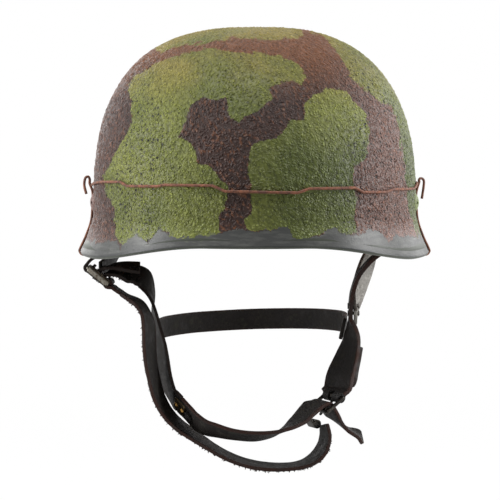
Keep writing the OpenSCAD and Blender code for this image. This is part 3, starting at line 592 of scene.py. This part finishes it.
def smoothPath(stations, steps):
    n = len(stations)
    s = [np.asarray(p, float) for p in stations]
    out = []
    for i in range(n - 1):
        a, b, c, d = s[max(i - 1, 0)], s[i], s[i + 1], s[min(i + 2, n - 1)]
        for j in range(steps):
            t = j / steps
            out.append(0.5 * (2 * b + (c - a) * t + (2 * a - 5 * b + 4 * c - d) * t * t
                              + (3 * b - a - 3 * c + d) * t ** 3))
    out.append(s[-1])
    return np.array(out)


def evenPath(stations, spacing):
    fine = smoothPath(stations, 10)
    run = np.concatenate([[0], np.cumsum(np.linalg.norm(np.diff(fine[:, :3], axis=0), axis=1))])
    count = max(4, int(round(run[-1] / spacing)))
    at = np.linspace(0, run[-1], count + 1)
    return np.column_stack([np.interp(at, run, fine[:, k]) for k in range(6)]), run[-1]


strapSize = {  # width and thickness
    "hangerStrap": (18, 2.1), "rearStrapRight": (15, 2.6), "cheekStrapRight": (18, 2.1), "chinStrap": (17, 2.4),
    "frontStrapLeft": (17, 2.75), "rearStrapLeft": (16, 2.6), "closingFlap": (14, 3.2), "lowerStrap": (18.6, 2.3),
    "napeStrap": (15, 2.6)}
strapSet = {"across": 14, "bevel": 0.24, "bevelAngle": 50, "fraySize": 1.6, "waver": 0.06, "waverSize": 9,
            "edgeFrom": 0.9, "edgeOver": 0.5}


def layStrap(name, stations, spacing=1.3, endTaper=1.0, taperLength=8.0, fray=0.12, backEdge=None):
    width, thick = strapSize[name]
    path, length = evenPath(stations, spacing)
    count = len(path)
    clearSelection()
    bpy.ops.mesh.primitive_grid_add(x_subdivisions=count - 1, y_subdivisions=strapSet["across"], size=2)
    piece = bpy.context.object
    flat = readPoints(piece)
    station = np.rint((flat[:, 0] + 1) / 2 * (count - 1)).astype(int)
    side = flat[:, 1]
    spots = path[:, :3]
    along = np.gradient(spots, axis=0)
    along /= np.linalg.norm(along, axis=1)[:, None]
    lean = path[:, 3:]
    lean = lean - (lean * along).sum(1)[:, None] * along
    lean /= np.linalg.norm(lean, axis=1)[:, None]
    up = np.cross(along, lean)
    run = np.linspace(0, length, count)
    half = np.full(count, width / 2)
    tail = np.clip((length - run) / taperLength, 0, 1)
    half *= endTaper + (1 - endTaper) * np.sqrt(tail)
    wider = np.zeros(count)
    if backEdge:  # an axis and, for places along it, how many mm wider the strap's rear edge is
        wider = np.interp(spots[:, backEdge[0]], *zip(*backEdge[1]))
    out = np.empty_like(flat)
    for i in range(len(flat)):
        k = station[i]
        fraySpot = Vector(spots[k]) / strapSet["fraySize"] + Vector((0, 0, side[i] * 7))
        wander = fray * noise.noise(fraySpot) * abs(side[i]) ** 6
        waver = strapSet["waver"] * noise.noise(Vector(spots[k]) / strapSet["waverSize"] + Vector((4, side[i], 0)))
        reach = side[i] * half[k] + math.copysign(wander, side[i]) - (1 - side[i]) / 2 * wider[k]
        out[i] = spots[k] + lean[k] * reach + up[k] * waver
    movePoints(piece, out)
    useModifier(piece, "SOLIDIFY", thickness=thick * mm, offset=0.0, use_even_offset=False)
    fixNormals(piece)
    useModifier(piece, "BEVEL", width=strapSet["bevel"] * thick * mm, segments=2, limit_method="ANGLE",
                angle_limit=math.radians(strapSet["bevelAngle"]))
    points = readPoints(piece) / mm
    # how near each point is to a cut edge
    edgeShare = np.zeros(len(points))
    for start in range(0, len(points), 2000):
        block = points[start:start + 2000]
        nearest = np.argmin(((block[:, None, :] - spots[None, :, :]) ** 2).sum(2), axis=1)
        offset = ((block - spots[nearest]) * lean[nearest]).sum(1)
        past = np.maximum(offset, -offset - wider[nearest]) - half[nearest]
        edgeShare[start:start + 2000] = np.clip((past + strapSet["edgeFrom"]) / strapSet["edgeOver"], 0, 1)
    setAttribute(piece, "cutEdge", edgeShare)
    piece.name = name
    return piece


def copiesAlong(kind, count, place, **settings):
    # one small form repeated by an array, then each copy set down by place(index, its own points)
    clearSelection()
    getattr(bpy.ops.mesh, "primitive_" + kind + "_add")(**settings)
    piece = bpy.context.object
    settle(piece)
    shape = readPoints(piece)
    useModifier(piece, "ARRAY", count=count, use_relative_offset=False, use_constant_offset=True,
                constant_offset_displace=(3, 0, 0))
    movePoints(piece, np.vstack([place(i, shape) for i in range(count)]))
    return piece


def joinTo(piece, extra):
    clearSelection()
    extra.select_set(True)
    piece.select_set(True)
    bpy.context.view_layer.objects.active = piece
    bpy.ops.object.join()
    return piece


def frameAt(path, i):
    i = min(max(i, 1), len(path) - 2)
    along = unit(path[i + 1][:3] - path[i - 1][:3])
    lean = unit(path[i][3:] - np.dot(path[i][3:], along) * along)
    return path[i][:3], along, lean, np.cross(along, lean)


fibre = {"across": (0.1, 0.47), "rootDepth": 0.35, "strayAlong": 0.6, "lean": 0.1, "strayAcross": 0.4,
         "long": (0.15, 1.0), "shortest": 0.7, "wide": (0.4, 0.85)}


def addFibres(piece, stations, count, reach, seed, first=0.12, last=0.98, faces=(1,)):
    # tufts of loose fibre that stand out of the strap's face, on the half towards the front
    width, thick = strapSize[piece.name]
    path, length = evenPath(stations, 0.8)
    dice = np.random.default_rng(seed)

    def place(i, shape):
        spot, along, lean, up = frameAt(path, int(dice.uniform(first, last) * len(path)))
        up = up * dice.choice(faces)
        root = spot + lean * dice.uniform(*fibre["across"]) * width + up * (0.5 * thick - fibre["rootDepth"])
        aim = unit(up + along * dice.normal(0, fibre["strayAlong"])
                   + lean * dice.normal(fibre["lean"], fibre["strayAcross"]))
        side = unit(np.cross(aim, lean))
        other = np.cross(aim, side)
        long = reach * dice.uniform(*fibre["long"]) ** 1.5 + fibre["shortest"]
        wide = dice.uniform(*fibre["wide"])
        return root + shape[:, :1] * side * wide + shape[:, 1:2] * other * wide + (shape[:, 2:] + 0.5) * aim * long

    fibres = copiesAlong("cone", count, place, vertices=5, radius1=1, radius2=0.3, depth=1)
    setAttribute(fibres, "cutEdge", np.ones(len(fibres.data.vertices)))
    return joinTo(piece, fibres)


stitch = {"first": 0.34, "last": 0.96, "offset": 4.6, "lift": 1.3, "pitch": 3.0, "long": 2.5, "slant": 0.7,
          "wide": 0.45, "high": 0.4, "endSink": 0.35}


def sewRow(name, stations, row, side):  # waxed thread on one face of a strap, row 1 or -1 off its middle
    path, length = evenPath(stations, 0.5)
    first, last, slant = stitch["first"], stitch["last"], stitch["slant"]
    count = int((last - first) * length / stitch["pitch"])

    def place(i, shape):
        k = int((first + (last - first) * (i + 0.5) / count) * len(path))
        spot, along, lean, up = frameAt(path, k)
        aim = unit(along * math.cos(slant) + lean * math.sin(slant))
        across = np.cross(aim, up)
        sink = -stitch["endSink"] * (2 * np.abs(shape[:, 2:])) ** 4
        return (spot + lean * stitch["offset"] * row + up * side * stitch["lift"]
                + shape[:, :1] * across * stitch["wide"]
                + (shape[:, 1:2] * stitch["high"] + sink) * up * side + shape[:, 2:] * aim * stitch["long"])

    stitches = copiesAlong("cylinder", count, place, vertices=8, radius=1, depth=1)
    stitches.name = name
    return stitches


front = (0, -1, 0)
bolts = {"front": 81, "rear": 115, "strapIn": 12.75, "heights": (47.0, 36.0, 26, 17.4)}  # degrees, strap's way down


def route(*pairs):
    return [tuple(p) + tuple(w) for p, w in pairs]


def hangFrom(degrees):  # the stretch that hangs from a bolt, inside the liner band
    turn = math.radians(degrees)
    x, y = planPoint(turn)
    nx, ny = planOut(turn)
    w = (ny, -nx, 0) if degrees > 0 else (-ny, nx, 0)
    x, y = x - bolts["strapIn"] * nx, y - bolts["strapIn"] * ny
    return [(x, y, z) + w for z in bolts["heights"]]


slide = {"at": np.array([-106.5, -20, -14]), "tilt": math.radians(39), "pitch": 8.8, "wrap": 2.35,
         "half": 11.4}


def onSlide(along, up):
    return tuple(slide["at"] + along * np.array([math.cos(slide["tilt"]), 0, -math.sin(slide["tilt"])])
                 + up * np.array([math.sin(slide["tilt"]), 0, math.cos(slide["tilt"])]))


def slidePoint(along, up):
    return onSlide(along, up) + front


def slideWrap(along, start, end):
    turns = [math.radians(start + (end - start) * i / 5) for i in range(6)]
    return [slidePoint(along + slide["wrap"] * math.cos(t), slide["wrap"] * math.sin(t)) for t in turns]


def frameOf(direction, faceHint):
    direction = unit(direction)
    face = unit(np.cross(np.cross(direction, faceHint), direction))
    return direction, face


clasp = {"at": np.array([-49.2, -38, -102])}
clasp["dir"], clasp["face"] = frameOf([0.585, -0.608, -0.54], [-0.64, -0.58, -0.47])
clasp["w"] = np.cross(clasp["face"], clasp["dir"])
buckle = {"at": np.array([48.4, -37, -100.2]), "fixedBar": -8.0, "rollerBar": 6.0, "chinLow": -4.06}
buckle["dir"], buckle["face"] = frameOf([-0.702, -0.451, -0.551], [0.6, 0.42, -0.6])
buckle["w"] = np.cross(buckle["dir"], buckle["face"])


def onBuckle(w, y, z):
    return tuple(buckle["at"] + w * buckle["w"] + y * buckle["face"] + z * buckle["dir"])


def onClasp(w, y, z):
    return tuple(clasp["at"] + w * clasp["w"] + y * clasp["face"] + z * clasp["dir"])


def buckled(y, z):
    return onBuckle(0, y, z) + tuple(buckle["w"])


hangerRoute = hangFrom(-bolts["front"]) \
    + route(((-98.5, -20, 9.5), (-0.3, -0.95, 0)), ((-104, -20, 2.6), (-0.36, -0.93, 0))) \
    + [slidePoint(-slide["pitch"] - slide["wrap"] + 0.2, 4.4)] + slideWrap(-slide["pitch"], 176, 350) \
    + [slidePoint(-slide["pitch"] + slide["wrap"], 3.4)]
hanger = layStrap("hangerStrap", hangerRoute, spacing=0.9, fray=0.4)
finishPiece(hanger, darkLeather, "dark_leather", ["hanger_strap"])

rearRight = layStrap("rearStrapRight", hangFrom(-bolts["rear"]) + route(
    ((-92, 48, 8), (0, -0.97, 0.2)), ((-98, 36, -4), (0, -0.96, 0.28)), ((-103, 19, -10), (0, -0.83, 0.56)),
    ((-105.8, 3, -12.5), (0, -0.35, 0.94)), ((-106.5, -7.3, -13), (0, 0, 1))))
finishPiece(rearRight, darkLeather, "dark_leather", ["rear_strap_right"])

cheekRoute = route(((-78.5, -17, -9.2), (0, -0.96, -0.3)), ((-90.5, -18, -8.2), (0, -0.98, -0.2))) \
    + [slidePoint(2.5, 8.8), slidePoint(-1.4, 4.6)] + slideWrap(0, 165, 355) \
    + [slidePoint(3.2, 3), slidePoint(7, 6.4)] \
    + route(((-90, -15, -15), (0, -0.95, -0.3)), ((-83.5, -12, -14.6), (0, -0.8, -0.6)),
            ((-76.5, -9.5, -17.2), (-0.4, -0.8, -0.45)), ((-71.8, -7.5, -26.5), (-0.2, -0.98, -0.1)),
            ((-69.5, -8, -39), (0.15, -1, 0)), ((-67.6, -10, -53), (0.35, -0.93, 0)),
            ((-65, -15, -67), (0.5, -0.85, 0)), ((-61.4, -22, -83), (0.45, -0.85, 0.15)),
            (onClasp(0, 0, -10), clasp["w"]), (onClasp(0, 0, -6), clasp["w"]), (onClasp(0, 0, -0.15), clasp["w"]))
cheek = layStrap("cheekStrapRight", cheekRoute, spacing=0.9, fray=0.5)
cheek = addFibres(cheek, cheekRoute, 160, 1.4, 5, first=0.0, last=0.42, faces=(1, -1))
finishPiece(cheek, darkLeather, "dark_leather", ["cheek_strap_right"])

chinRoute = route(*[(onClasp(0, 0, on), clasp["w"]) for on in (0.15, 6, 12, 17)]) + route(
    ((-33.2, -51.3, -114.4), (0.05, -0.75, 0.65)), ((-26, -53.6, -116.1), (0.02, -0.8, 0.58)),
    ((-13.2, -56.9, -118.6), (0, -0.88, 0.47)), ((0.2, -58, -119.6), (0, -0.9, 0.43)),
    ((13.4, -56.8, -118), (0.15, -0.95, 0.3)), ((23, -53.4, -114.4), (0.35, -0.92, 0.12))) \
    + [buckled(buckle["chinLow"], z) for z in (24.5, 19.5, 13.5, buckle["rollerBar"] + 1)] \
    + [buckled(buckle["chinLow"] + 0.9, 3), buckled(-1.4, 0.6), buckled(2.5, 0), buckled(10.5, 0),
       onBuckle(0, 15.5, -0.9) + (0.32, -0.95, 0), onBuckle(0, 23, -3.4) + (0.06, -1, 0),
       onBuckle(0, 31, -7) + (0, -1, 0.02), onBuckle(0, 35, -9.2) + (-0.2, -0.97, -0.1),
       onBuckle(0, 39, -11.6) + (-0.45, -0.88, -0.25)]
chin = layStrap("chinStrap", chinRoute, spacing=1.0, endTaper=0.55, taperLength=7,
                backEdge=(0, [(30, 0), (37, 3), (41.5, 4.5), (43.5, 0)]))
finishPiece(chin, strapLeather, "strap_leather", ["chin_strap", "strap_tip"], body=None)
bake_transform(chin)

leftRoute = hangFrom(bolts["front"]) + route(
    ((95.5, -20, 10), front), ((89, -20, 3.5), front), ((79.5, -19.5, -4), front),
    ((71.6, -17, -14), front), ((67.8, -14, -25), front), ((66.5, -11, -35), front), ((66.5, -9, -45), front),
    ((66.9, -10.5, -54), (0.38, -0.92, 0)), ((66.7, -13, -61), (0.55, -0.83, 0)),
    ((65.2, -17, -69), (0.62, -0.78, 0)), ((62.9, -22, -78), (0.64, -0.77, -0.03)),
    ((61.7, -25, -83), (0.62, -0.78, -0.03)), ((60.9, -27.4, -87.4), (0.59, -0.81, -0.03)),
    *[(onBuckle(0, 0, buckle["fixedBar"] - back), buckle["w"]) for back in (8.5, 5.4)])
left = layStrap("frontStrapLeft", leftRoute + route((onBuckle(0, 0, buckle["fixedBar"] - 3), buckle["w"])),
                backEdge=(2, [(-95.5, 8), (-91, 10), (-85, 9), (-76, 7), (-66, 3.5), (-56, 0)]))
finishPiece(left, strapLeather, "strap_leather", ["front_strap_left"])

rearLeftRoute = hangFrom(bolts["rear"]) + route(
    ((88.5, 49, 8), (0.1, -0.93, 0.25)), ((84, 39, -2), (-0.3, -0.75, 0.5)), ((78, 25, -14), (-0.5, -0.6, 0.6)),
    ((72.8, 11, -27), (-0.42, -0.65, 0.6)), ((70.2, 0.5, -37), (-0.15, -0.78, 0.6)),
    ((70, -7, -44.5), (0, -0.8, 0.6)))
rearLeft = layStrap("rearStrapLeft", rearLeftRoute)
finishPiece(rearLeft, greyLeather, "grey_leather", ["rear_strap_left"])

for face, faceName in ((1, "Front"), (-1, "Back")):
    for row, rowName in ((1, "Outer"), (-1, "Inner")):   # two slanted rows through the strap
        stitches = sewRow("rearStitches" + rowName + faceName, rearLeftRoute, row, face)
        finishPiece(stitches, thread, "dark_leather", smooth=60)

leftPath = smoothPath(leftRoute, 3)


def heading(path, i):
    return unit(path[min(i + 1, len(path) - 1)][:3] - path[max(i - 1, 0)][:3])


def lifted(path, first, last, lift, standOff=0.0):
    out = []
    for i in range(first, last + 1):
        d = heading(path, i)
        w = path[i][3:] - np.dot(path[i][3:], d) * d
        w = unit(w)
        spot = path[i][:3] - (lift + max(0, i - flapSet["first"]) * standOff) * np.cross(d, w)
        out.append(tuple(spot) + tuple(w))
    return out


flapSet = {"first": 39, "last": 49, "lift": 3.9, "standOff": 0.1}
flapRoute = lifted(leftPath, flapSet["first"] - 2, flapSet["last"], flapSet["lift"], flapSet["standOff"])
flap = layStrap("closingFlap", flapRoute, endTaper=0.6, taperLength=5)
finishPiece(flap, darkLeather, "dark_leather", ["stud_patch", "closing_flap"], body=None)
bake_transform(flap)

lowerStart = np.array([-93, -20.8, -24.8])
lowerEnd = np.array([47.6, -44, -116.8])
swing = unit(lowerEnd - lowerStart)
lowerRoute = slideWrap(slide["pitch"], 30, 278) + route(
    *[(lowerStart - back * swing, front) for back in (5, 2.6)], (lowerStart, front),
    (lowerStart + 2.5 * swing, front), (lowerStart + 5 * swing, front),
    ((-79.6, -25.8, -32.5), (-0.17, -0.98, -0.05)),
    ((-74.4, -27.8, -39.5), (-0.24, -0.97, 0)), ((-72.2, -29.5, -48), (-0.35, -0.93, 0.05)),
    ((-71.7, -32, -61), (-0.36, -0.93, 0.06)), ((-70.7, -34, -73), (-0.34, -0.94, 0.05)),
    ((-67.9, -36, -85.9), (-0.32, -0.94, 0.02)), ((-65.1, -38.2, -95.6), (-0.3, -0.95, -0.05)),
    ((-59.4, -39.7, -106.1), (-0.25, -0.96, -0.1)), ((-51.2, -41.6, -114.5), (-0.2, -0.97, -0.14)),
    ((-42.3, -42.5, -120.6), (-0.15, -0.97, -0.14)), ((-27.6, -44.5, -130), (-0.1, -0.99, -0.08)),
    ((-15.5, -45.5, -136.2), (-0.06, -0.99, -0.08)), ((-2.8, -46.5, -140.2), (0, -0.99, -0.08)),
    ((10.4, -47, -142), (0, -0.99, -0.06)), ((23, -47, -141.9), (0.02, -0.99, -0.04)),
    ((32, -46.8, -140.4), (0.12, -0.98, -0.05)), ((38.6, -46.5, -137.4), (0.25, -0.95, -0.06)),
    ((43.6, -46, -133), (0.31, -0.94, -0.05)), ((46.8, -45.4, -127.3), (0.31, -0.95, -0.02)),
    ((48, -44.7, -121.5), (0.31, -0.95, 0.05)), (lowerEnd, (0.3, -0.94, 0.1)),
    ((47.2, -43.4, -113.6), (0.3, -0.94, 0.1)))
lower = layStrap("lowerStrap", lowerRoute, spacing=1.1, endTaper=0.6, fray=0.45)
lower = addFibres(lower, lowerRoute, 520, 1.5, 7)
finishPiece(lower, strapLeather, "strap_leather", ["lower_strap_end", "lower_strap"], body=None)
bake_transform(lower)

napeRoute = [(61.2, -4.5, -52.5), (61.6, 3.5, -52.3), (63, 14, -52), (64.5, 30, -51.8), (60.5, 50, -52),
             (46, 69, -52.5), (24, 80, -53.2), (0, 84, -54), (-24, 80, -54.8), (-46, 69, -55.4), (-62, 50, -56),
             (-67, 30, -56), (-68, 14, -55.6), (-67.2, 3, -55.3), (-66, -5, -55)]
nape = layStrap("napeStrap", [p + (0.2 if p[0] > 61 and p[1] < 5 else 0, 0, 1) for p in napeRoute], spacing=1.6)
finishPiece(nape, strapLeather, "strap_leather", ["nape_strap"])
print("helmet: straps laid")


# ---- camouflage wire and its rim hooks

def makeWire(name, points, diameter, closed=False):
    clearSelection()
    bpy.ops.curve.primitive_bezier_curve_add()
    piece = bpy.context.object
    curve = piece.data
    curve.splines.clear()
    spline = curve.splines.new("POLY")
    spline.points.add(len(points) - 1)
    for point, (x, y, z) in zip(spline.points, points):
        point.co = (x * mm, y * mm, z * mm, 1)
        point.radius = 1 + 0.09 * noise.noise(Vector((x, y, z)) / 3.5)
    spline.use_cyclic_u = closed
    curve.dimensions = "3D"
    curve.bevel_depth = diameter / 2 * mm
    curve.bevel_resolution = 4
    curve.use_fill_caps = True
    piece.location = (0, 0, 0)
    onlyActive(piece)
    bpy.ops.object.convert(target="MESH")
    piece = bpy.context.object
    editWhole(piece, (bpy.ops.mesh.remove_doubles, {"threshold": 0.005 * mm}))
    fixNormals(piece)
    piece.name = name
    return piece


def sidePoint(degrees, z, inset):
    turn = math.radians(degrees)
    x, y = planPoint(turn)
    nx, ny = planOut(turn)
    if z > helmet["skirt"]:
        power = roundTheHelmet(turn, helmet["powers"])
        k = (1 - ((z - helmet["skirt"]) / (helmet["crown"] - helmet["skirt"] - inset)) ** power) ** (1 / power)
        return (x - inset * nx) * k, (y - inset * ny) * k, z
    down = (helmet["skirt"] - z) / (helmet["skirt"] - rimHeight(turn) - helmet["roll"])
    reach = roundTheHelmet(turn, helmet["flares"]) * down ** helmet["flarePower"] - inset
    return x + nx * reach, y + ny * reach, z


wire = {"diameter": 1.8, "gap": 0.35, "step": 1.5, "kinks": [  # degrees from the brow, height
    (-86, 47.5), (-66, 51), (-51, 52), (-47, 49.5), (-33, 50), (-30, 51), (-13, 51), (-9, 47.5), (13, 46.5),
    (17, 49), (34, 49), (37.5, 46), (49, 45.5), (53, 47), (73, 46), (84, 49), (100, 49), (130, 48), (160, 47),
    (177, 46.5), (183, 48.5), (200, 49), (230, 50), (258, 49)]}
wireOut = wire["gap"] + wire["diameter"] / 2
wirePoints = []
for i, (fromTurn, fromZ) in enumerate(wire["kinks"]):
    toTurn, toZ = (wire["kinks"] + [(wire["kinks"][0][0] + 360, wire["kinks"][0][1])])[i + 1]
    steps = max(2, round((toTurn - fromTurn) / wire["step"]))
    for j in range(steps):
        t = j / steps
        wirePoints.append(sidePoint(fromTurn + (toTurn - fromTurn) * t, fromZ + (toZ - fromZ) * t, -wireOut))
beltWire = makeWire("beltWire", wirePoints, wire["diameter"], closed=True)


def hookPoints(degrees, beltHeight, legEnd, loopRise):
    turn = math.radians(degrees)
    base = np.array(planPoint(turn))
    out = np.array(planOut(turn))
    across = np.array([-out[1], out[0]])
    reach = wireOut + wire["diameter"] + 0.3
    rim = roundTheHelmet(turn, helmet["flares"])
    roll = helmet["roll"] + wireOut
    low = rimHeight(turn) + helmet["roll"]

    def at(o, z, slip):
        x, y = base + o * out + slip * across
        return (x, y, z, 0, 0, 1)

    def shellOut(z):
        return float(np.dot(np.array(sidePoint(degrees, z, 0)[:2]) - base, out))

    turns = [math.radians(t) for t in range(190, -21, -35)]
    stations = [at(rim - helmet["roll"] + roll * math.cos(t), low - roll * math.sin(t), 0) for t in turns]
    stations += [at(shellOut(z) + wireOut, z, 0) for z in (12, 22, 32, 42)]
    loop = shellOut(beltHeight) + reach
    stations += [at(loop + further, z, slip) for further, z, slip in (
        (0, beltHeight, 0), (0, beltHeight + 0.6 * loopRise, 0.8), (0.9, beltHeight + loopRise, 1.8),
        (2.9, beltHeight + 0.8 * loopRise, 2.8), (3.6, beltHeight - 1, 3), (2.2, legEnd, 3.2))]
    return [tuple(p[:3]) for p in smoothPath(stations, 6)]


hooks = {"Right": (-90, 48, 41, 4.9), "Left": (90, 49, 37.5, 2.6), "Rear": (178, 47, 36, 5)}


def makeRust():
    # annealed iron wire, rusted: thin orange scale over dark iron, fully rough, worn to brown on the outside
    material, tree, surface, place = newMaterial("rustedIronWire")
    scale = noiseAt(tree, place, 4.0, 4, 0.6)
    spots = noiseAt(tree, place, 1.1, 3)
    tone = blendColour(tree, spread(tree, scale, 0.35, 0.62), "#4a2a1f", "#7c4a31")
    tone = blendColour(tree, spread(tree, spots, 0.58, 0.7), tone, "#2b1813")
    applyLook(tree, surface, tone, spread(tree, spots, 0.3, 0.7, 0.6, 0.85))
    applyBump(tree, surface, spots, 0.7, 0.15)
    return material


rust = makeRust()
finishPiece(beltWire, rust, "rusty_wire", ["belt_wire"], smooth=None)
for side, settings in hooks.items():
    hook = makeWire("rimHook" + side, hookPoints(*settings), wire["diameter"])
    finishPiece(hook, rust, "rusty_wire", ["rim_hook_" + side.lower()], smooth=None)
print("helmet: wire bent")


# ---- metals and rubber

def makeMetal(name, base, dark, stain, roughness, stainShare, metallic=1.0):
    # worn plated steel: grey plating rubbed dull, brown stains in the hollows, fine scratches along it
    material, tree, surface, place = newMaterial(name)
    wide = noiseAt(tree, place, 7, 4, 0.6)
    spots = noiseAt(tree, place, 1.3, 3, 0.6)
    stretched = addNode(tree, "Mapping", {"Vector": place, "Scale": (1, 1, 0.15)}).outputs[0]
    scratches = noiseAt(tree, stretched, 0.5, 2)
    tone = blendColour(tree, spread(tree, wide, 0.35, 0.65), base, dark)
    tone = blendColour(tree, times(tree, spread(tree, spots, 0.5, 0.64), stainShare), tone, stain)
    surface.inputs["Metallic"].default_value = metallic
    applyLook(tree, surface, tone,
              spread(tree, plus(tree, wide, scratches), 0.6, 1.4, roughness - 0.1, roughness + 0.2))
    applyBump(tree, surface, plus(tree, scratches, spots), 0.6, 0.06)
    return material


slideSteel = makeMetal("wornPlatedSteel", "#8d897f", "#6b675e", "#4a3a2b", 0.42, 0.7)
darkSteel = makeMetal("blackenedBuckleSteel", "#4b4843", "#2b2927", "#1d1815", 0.4, 0.7)
darkBronze = makeMetal("darkenedBronze", "#867a63", "#4b4437", "#5f4330", 0.45, 0.6)
brass = makeMetal("tarnishedBrass", "#b08a4e", "#7d5f35", "#4a3620", 0.38, 0.6)
blackStud = makeMetal("blackenedStud", "#3b3a39", "#242322", "#6a6258", 0.4, 0.4, metallic=0.8)
aluminium = makeMetal("rolledAluminium", "#b9bbba", "#9b9d9c", "#7c776c", 0.35, 0.3)


def makeRubber():
    # moulded black rubber, bloomed grey with age
    material, tree, surface, place = newMaterial("agedBlackRubber")
    bloom = noiseAt(tree, place, 8, 4)
    applyLook(tree, surface, blendColour(tree, spread(tree, bloom, 0.4, 0.7), "#1d1c1b", "#3a3835"), 0.75)
    grit = noiseAt(tree, place, 0.8, 2)
    applyBump(tree, surface, grit, 0.5, 0.1)
    return material


rubber = makeRubber()


def dress(node, material):
    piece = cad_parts[node]
    piece.data.materials.clear()
    piece.data.materials.append(material)
    onlyActive(piece)
    bpy.ops.object.shade_smooth_by_angle(angle=math.radians(40))


def makeBoltPaint():
    # steel bolt heads painted over with the shell: brown on the wearer's right, green on the left
    material, tree, surface, place = newMaterial("paintedBoltSteel")
    axes = splitAxes(tree, place)
    speckle = noiseAt(tree, place, 1.2, 3, 0.7)
    tone = blendColour(tree, spread(tree, axes["X"], -0.01, 0.01), "#6a4f48", "#6f7a48")
    tone = blendColour(tree, spread(tree, speckle, 0.5, 0.62, 0.0, 0.7), tone, "#2a2119")
    applyLook(tree, surface, tone, 0.55)
    applyBump(tree, surface, speckle, 0.8, 0.5)
    return material


for node, material in (("buckle_frame", darkSteel), ("buckle_prong", darkSteel), ("buckle_roller", darkSteel),
                       ("hook_plate", darkSteel), ("clasp_plate", darkBronze), ("clasp_rivets", brass),
                       ("junction_rivets", darkSteel), ("snap_stud", blackStud), ("spanner_bolts", makeBoltPaint()),
                       ("liner_screws", aluminium), ("liner_band", aluminium), ("bolt_bushes", rubber)):
    dress(node, material)

slideRail = {"length": 18.6, "height": 5.4, "depth": 2.4, "edge": 0.9, "corner": 2.3}
ladder = copyOfNode("adjuster_slide", "adjusterSlide")
clearSelection()
bpy.ops.mesh.primitive_cube_add(size=1)   # the slide's flat front rail, which hides the ends of its bars
rail = bpy.context.object
rail.scale = (slideRail["length"] * mm, slideRail["depth"] * mm, slideRail["height"] * mm)
settle(rail)
for edge in rail.data.edges:
    a, b = (rail.data.vertices[i].co for i in edge.vertices)
    edge.select = abs(a.y - b.y) > 0.5 * slideRail["depth"] * mm
bpy.ops.object.mode_set(mode="EDIT")
bpy.ops.mesh.bevel(offset=slideRail["corner"] * mm, segments=6)
bpy.ops.object.mode_set(mode="OBJECT")
useModifier(rail, "BEVEL", width=slideRail["edge"] * mm, segments=3, limit_method="ANGLE",
            angle_limit=math.radians(50))
rail.rotation_euler = (0, slide["tilt"], 0)
rail.location = Vector(slide["at"] - np.array([0, slide["half"], 0])) * mm
settle(rail)
ladder = joinTo(ladder, rail)
finishPiece(ladder, slideSteel, "slide_steel", ["adjuster_slide"])

for node, name, material, slot, smooth in (
        ("clasp_tongue", "claspTongue", darkLeather, "dark_leather", 40),
        ("buckle_fold", "buckleFold", darkLeather, "dark_leather", 40),
        ("leather_liner", "leatherLiner", linerLeather, "liner_leather", 50),
        ("rubber_pads", "rubberPads", rubber, "black_rubber", 40)):
    pads = finishPiece(copyOfNode(node, name), material, slot, [node], smooth=smooth)
print("helmet: metals and liner dressed")


# ---- floor, backdrop and light

def seenShare(tree):  # 1 where camera or mirror sees it, 0 for the light it gives
    seenBy = addNode(tree, "LightPath").outputs
    share = maths(tree, "MAXIMUM", seenBy["Is Camera Ray"], seenBy["Is Glossy Ray"])
    return maths(tree, "MAXIMUM", share, seenBy["Is Transmission Ray"])


stage = {"floorSize": 8, "floorZ": -0.24, "nearFar": (0.25, 1.2), "paleness": (0.94, 1.0), "fill": 0.1}


def makeStage():
    clearSelection()
    bpy.ops.mesh.primitive_plane_add(size=stage["floorSize"], location=(0, 0, stage["floorZ"]))
    floor = bpy.context.object
    floor.name = "floor"
    settle(floor)
    material, tree, surface, place = newMaterial("paleFloor")
    applyLook(tree, surface, "#e6e6e4", 0.9)
    white = addNode(tree, "Emission", {"Color": grey(1.0), "Strength": 1.0})
    away = addNode(tree, "VectorMath", {0: place}, operation="LENGTH").outputs["Value"]
    share = times(tree, seenShare(tree), spread(tree, away, *stage["nearFar"], *stage["paleness"]))
    mixed = addNode(tree, "MixShader", {0: share, 1: surface.outputs[0], 2: white.outputs[0]})
    tree.links.new(mixed.outputs[0], tree.nodes["Material Output"].inputs["Surface"])
    floor.data.materials.append(material)
    world = bpy.data.worlds.new("studio")
    bpy.context.scene.world = world
    world.use_nodes = True
    tree = world.node_tree
    background = tree.nodes["Background"].inputs
    background["Color"].default_value = grey(1.0)
    feed(tree, background["Strength"], spread(tree, seenShare(tree), 0, 1, stage["fill"], 1.0))


def addLamp(name, place, aim, size, power):
    lamp = bpy.data.objects.new(name, bpy.data.lights.new(name, "AREA"))
    lamp.data.shape = "RECTANGLE"
    lamp.data.size, lamp.data.size_y = size
    lamp.data.energy = power
    lamp.location = place
    lamp.rotation_euler = (Vector(aim) - Vector(place)).to_track_quat("-Z", "Y").to_euler()
    bpy.context.scene.collection.objects.link(lamp)


makeStage()
for lampName, lampPlace, aimZ, size, power in (
        ("leftBox", (-1.3, -0.15, 0.35), 0.02, (0.5, 0.9), 20), ("rightBox", (1.3, 0.0, 0.4), 0.02, (0.5, 0.9), 22),
        ("rearRightBox", (1.0, 1.05, 0.45), 0.06, (0.4, 0.9), 4),
        ("rearLeftBox", (-0.65, 1.3, 0.45), 0.06, (0.4, 0.9), 3),
        ("topBox", (-0.2, -0.35, 1.4), 0.05, (0.9, 0.6), 18)):
    addLamp(lampName, lampPlace, (0, 0, aimZ), size, power)
bpy.context.scene.view_settings.view_transform = "Standard"
print("helmet: stage lit")
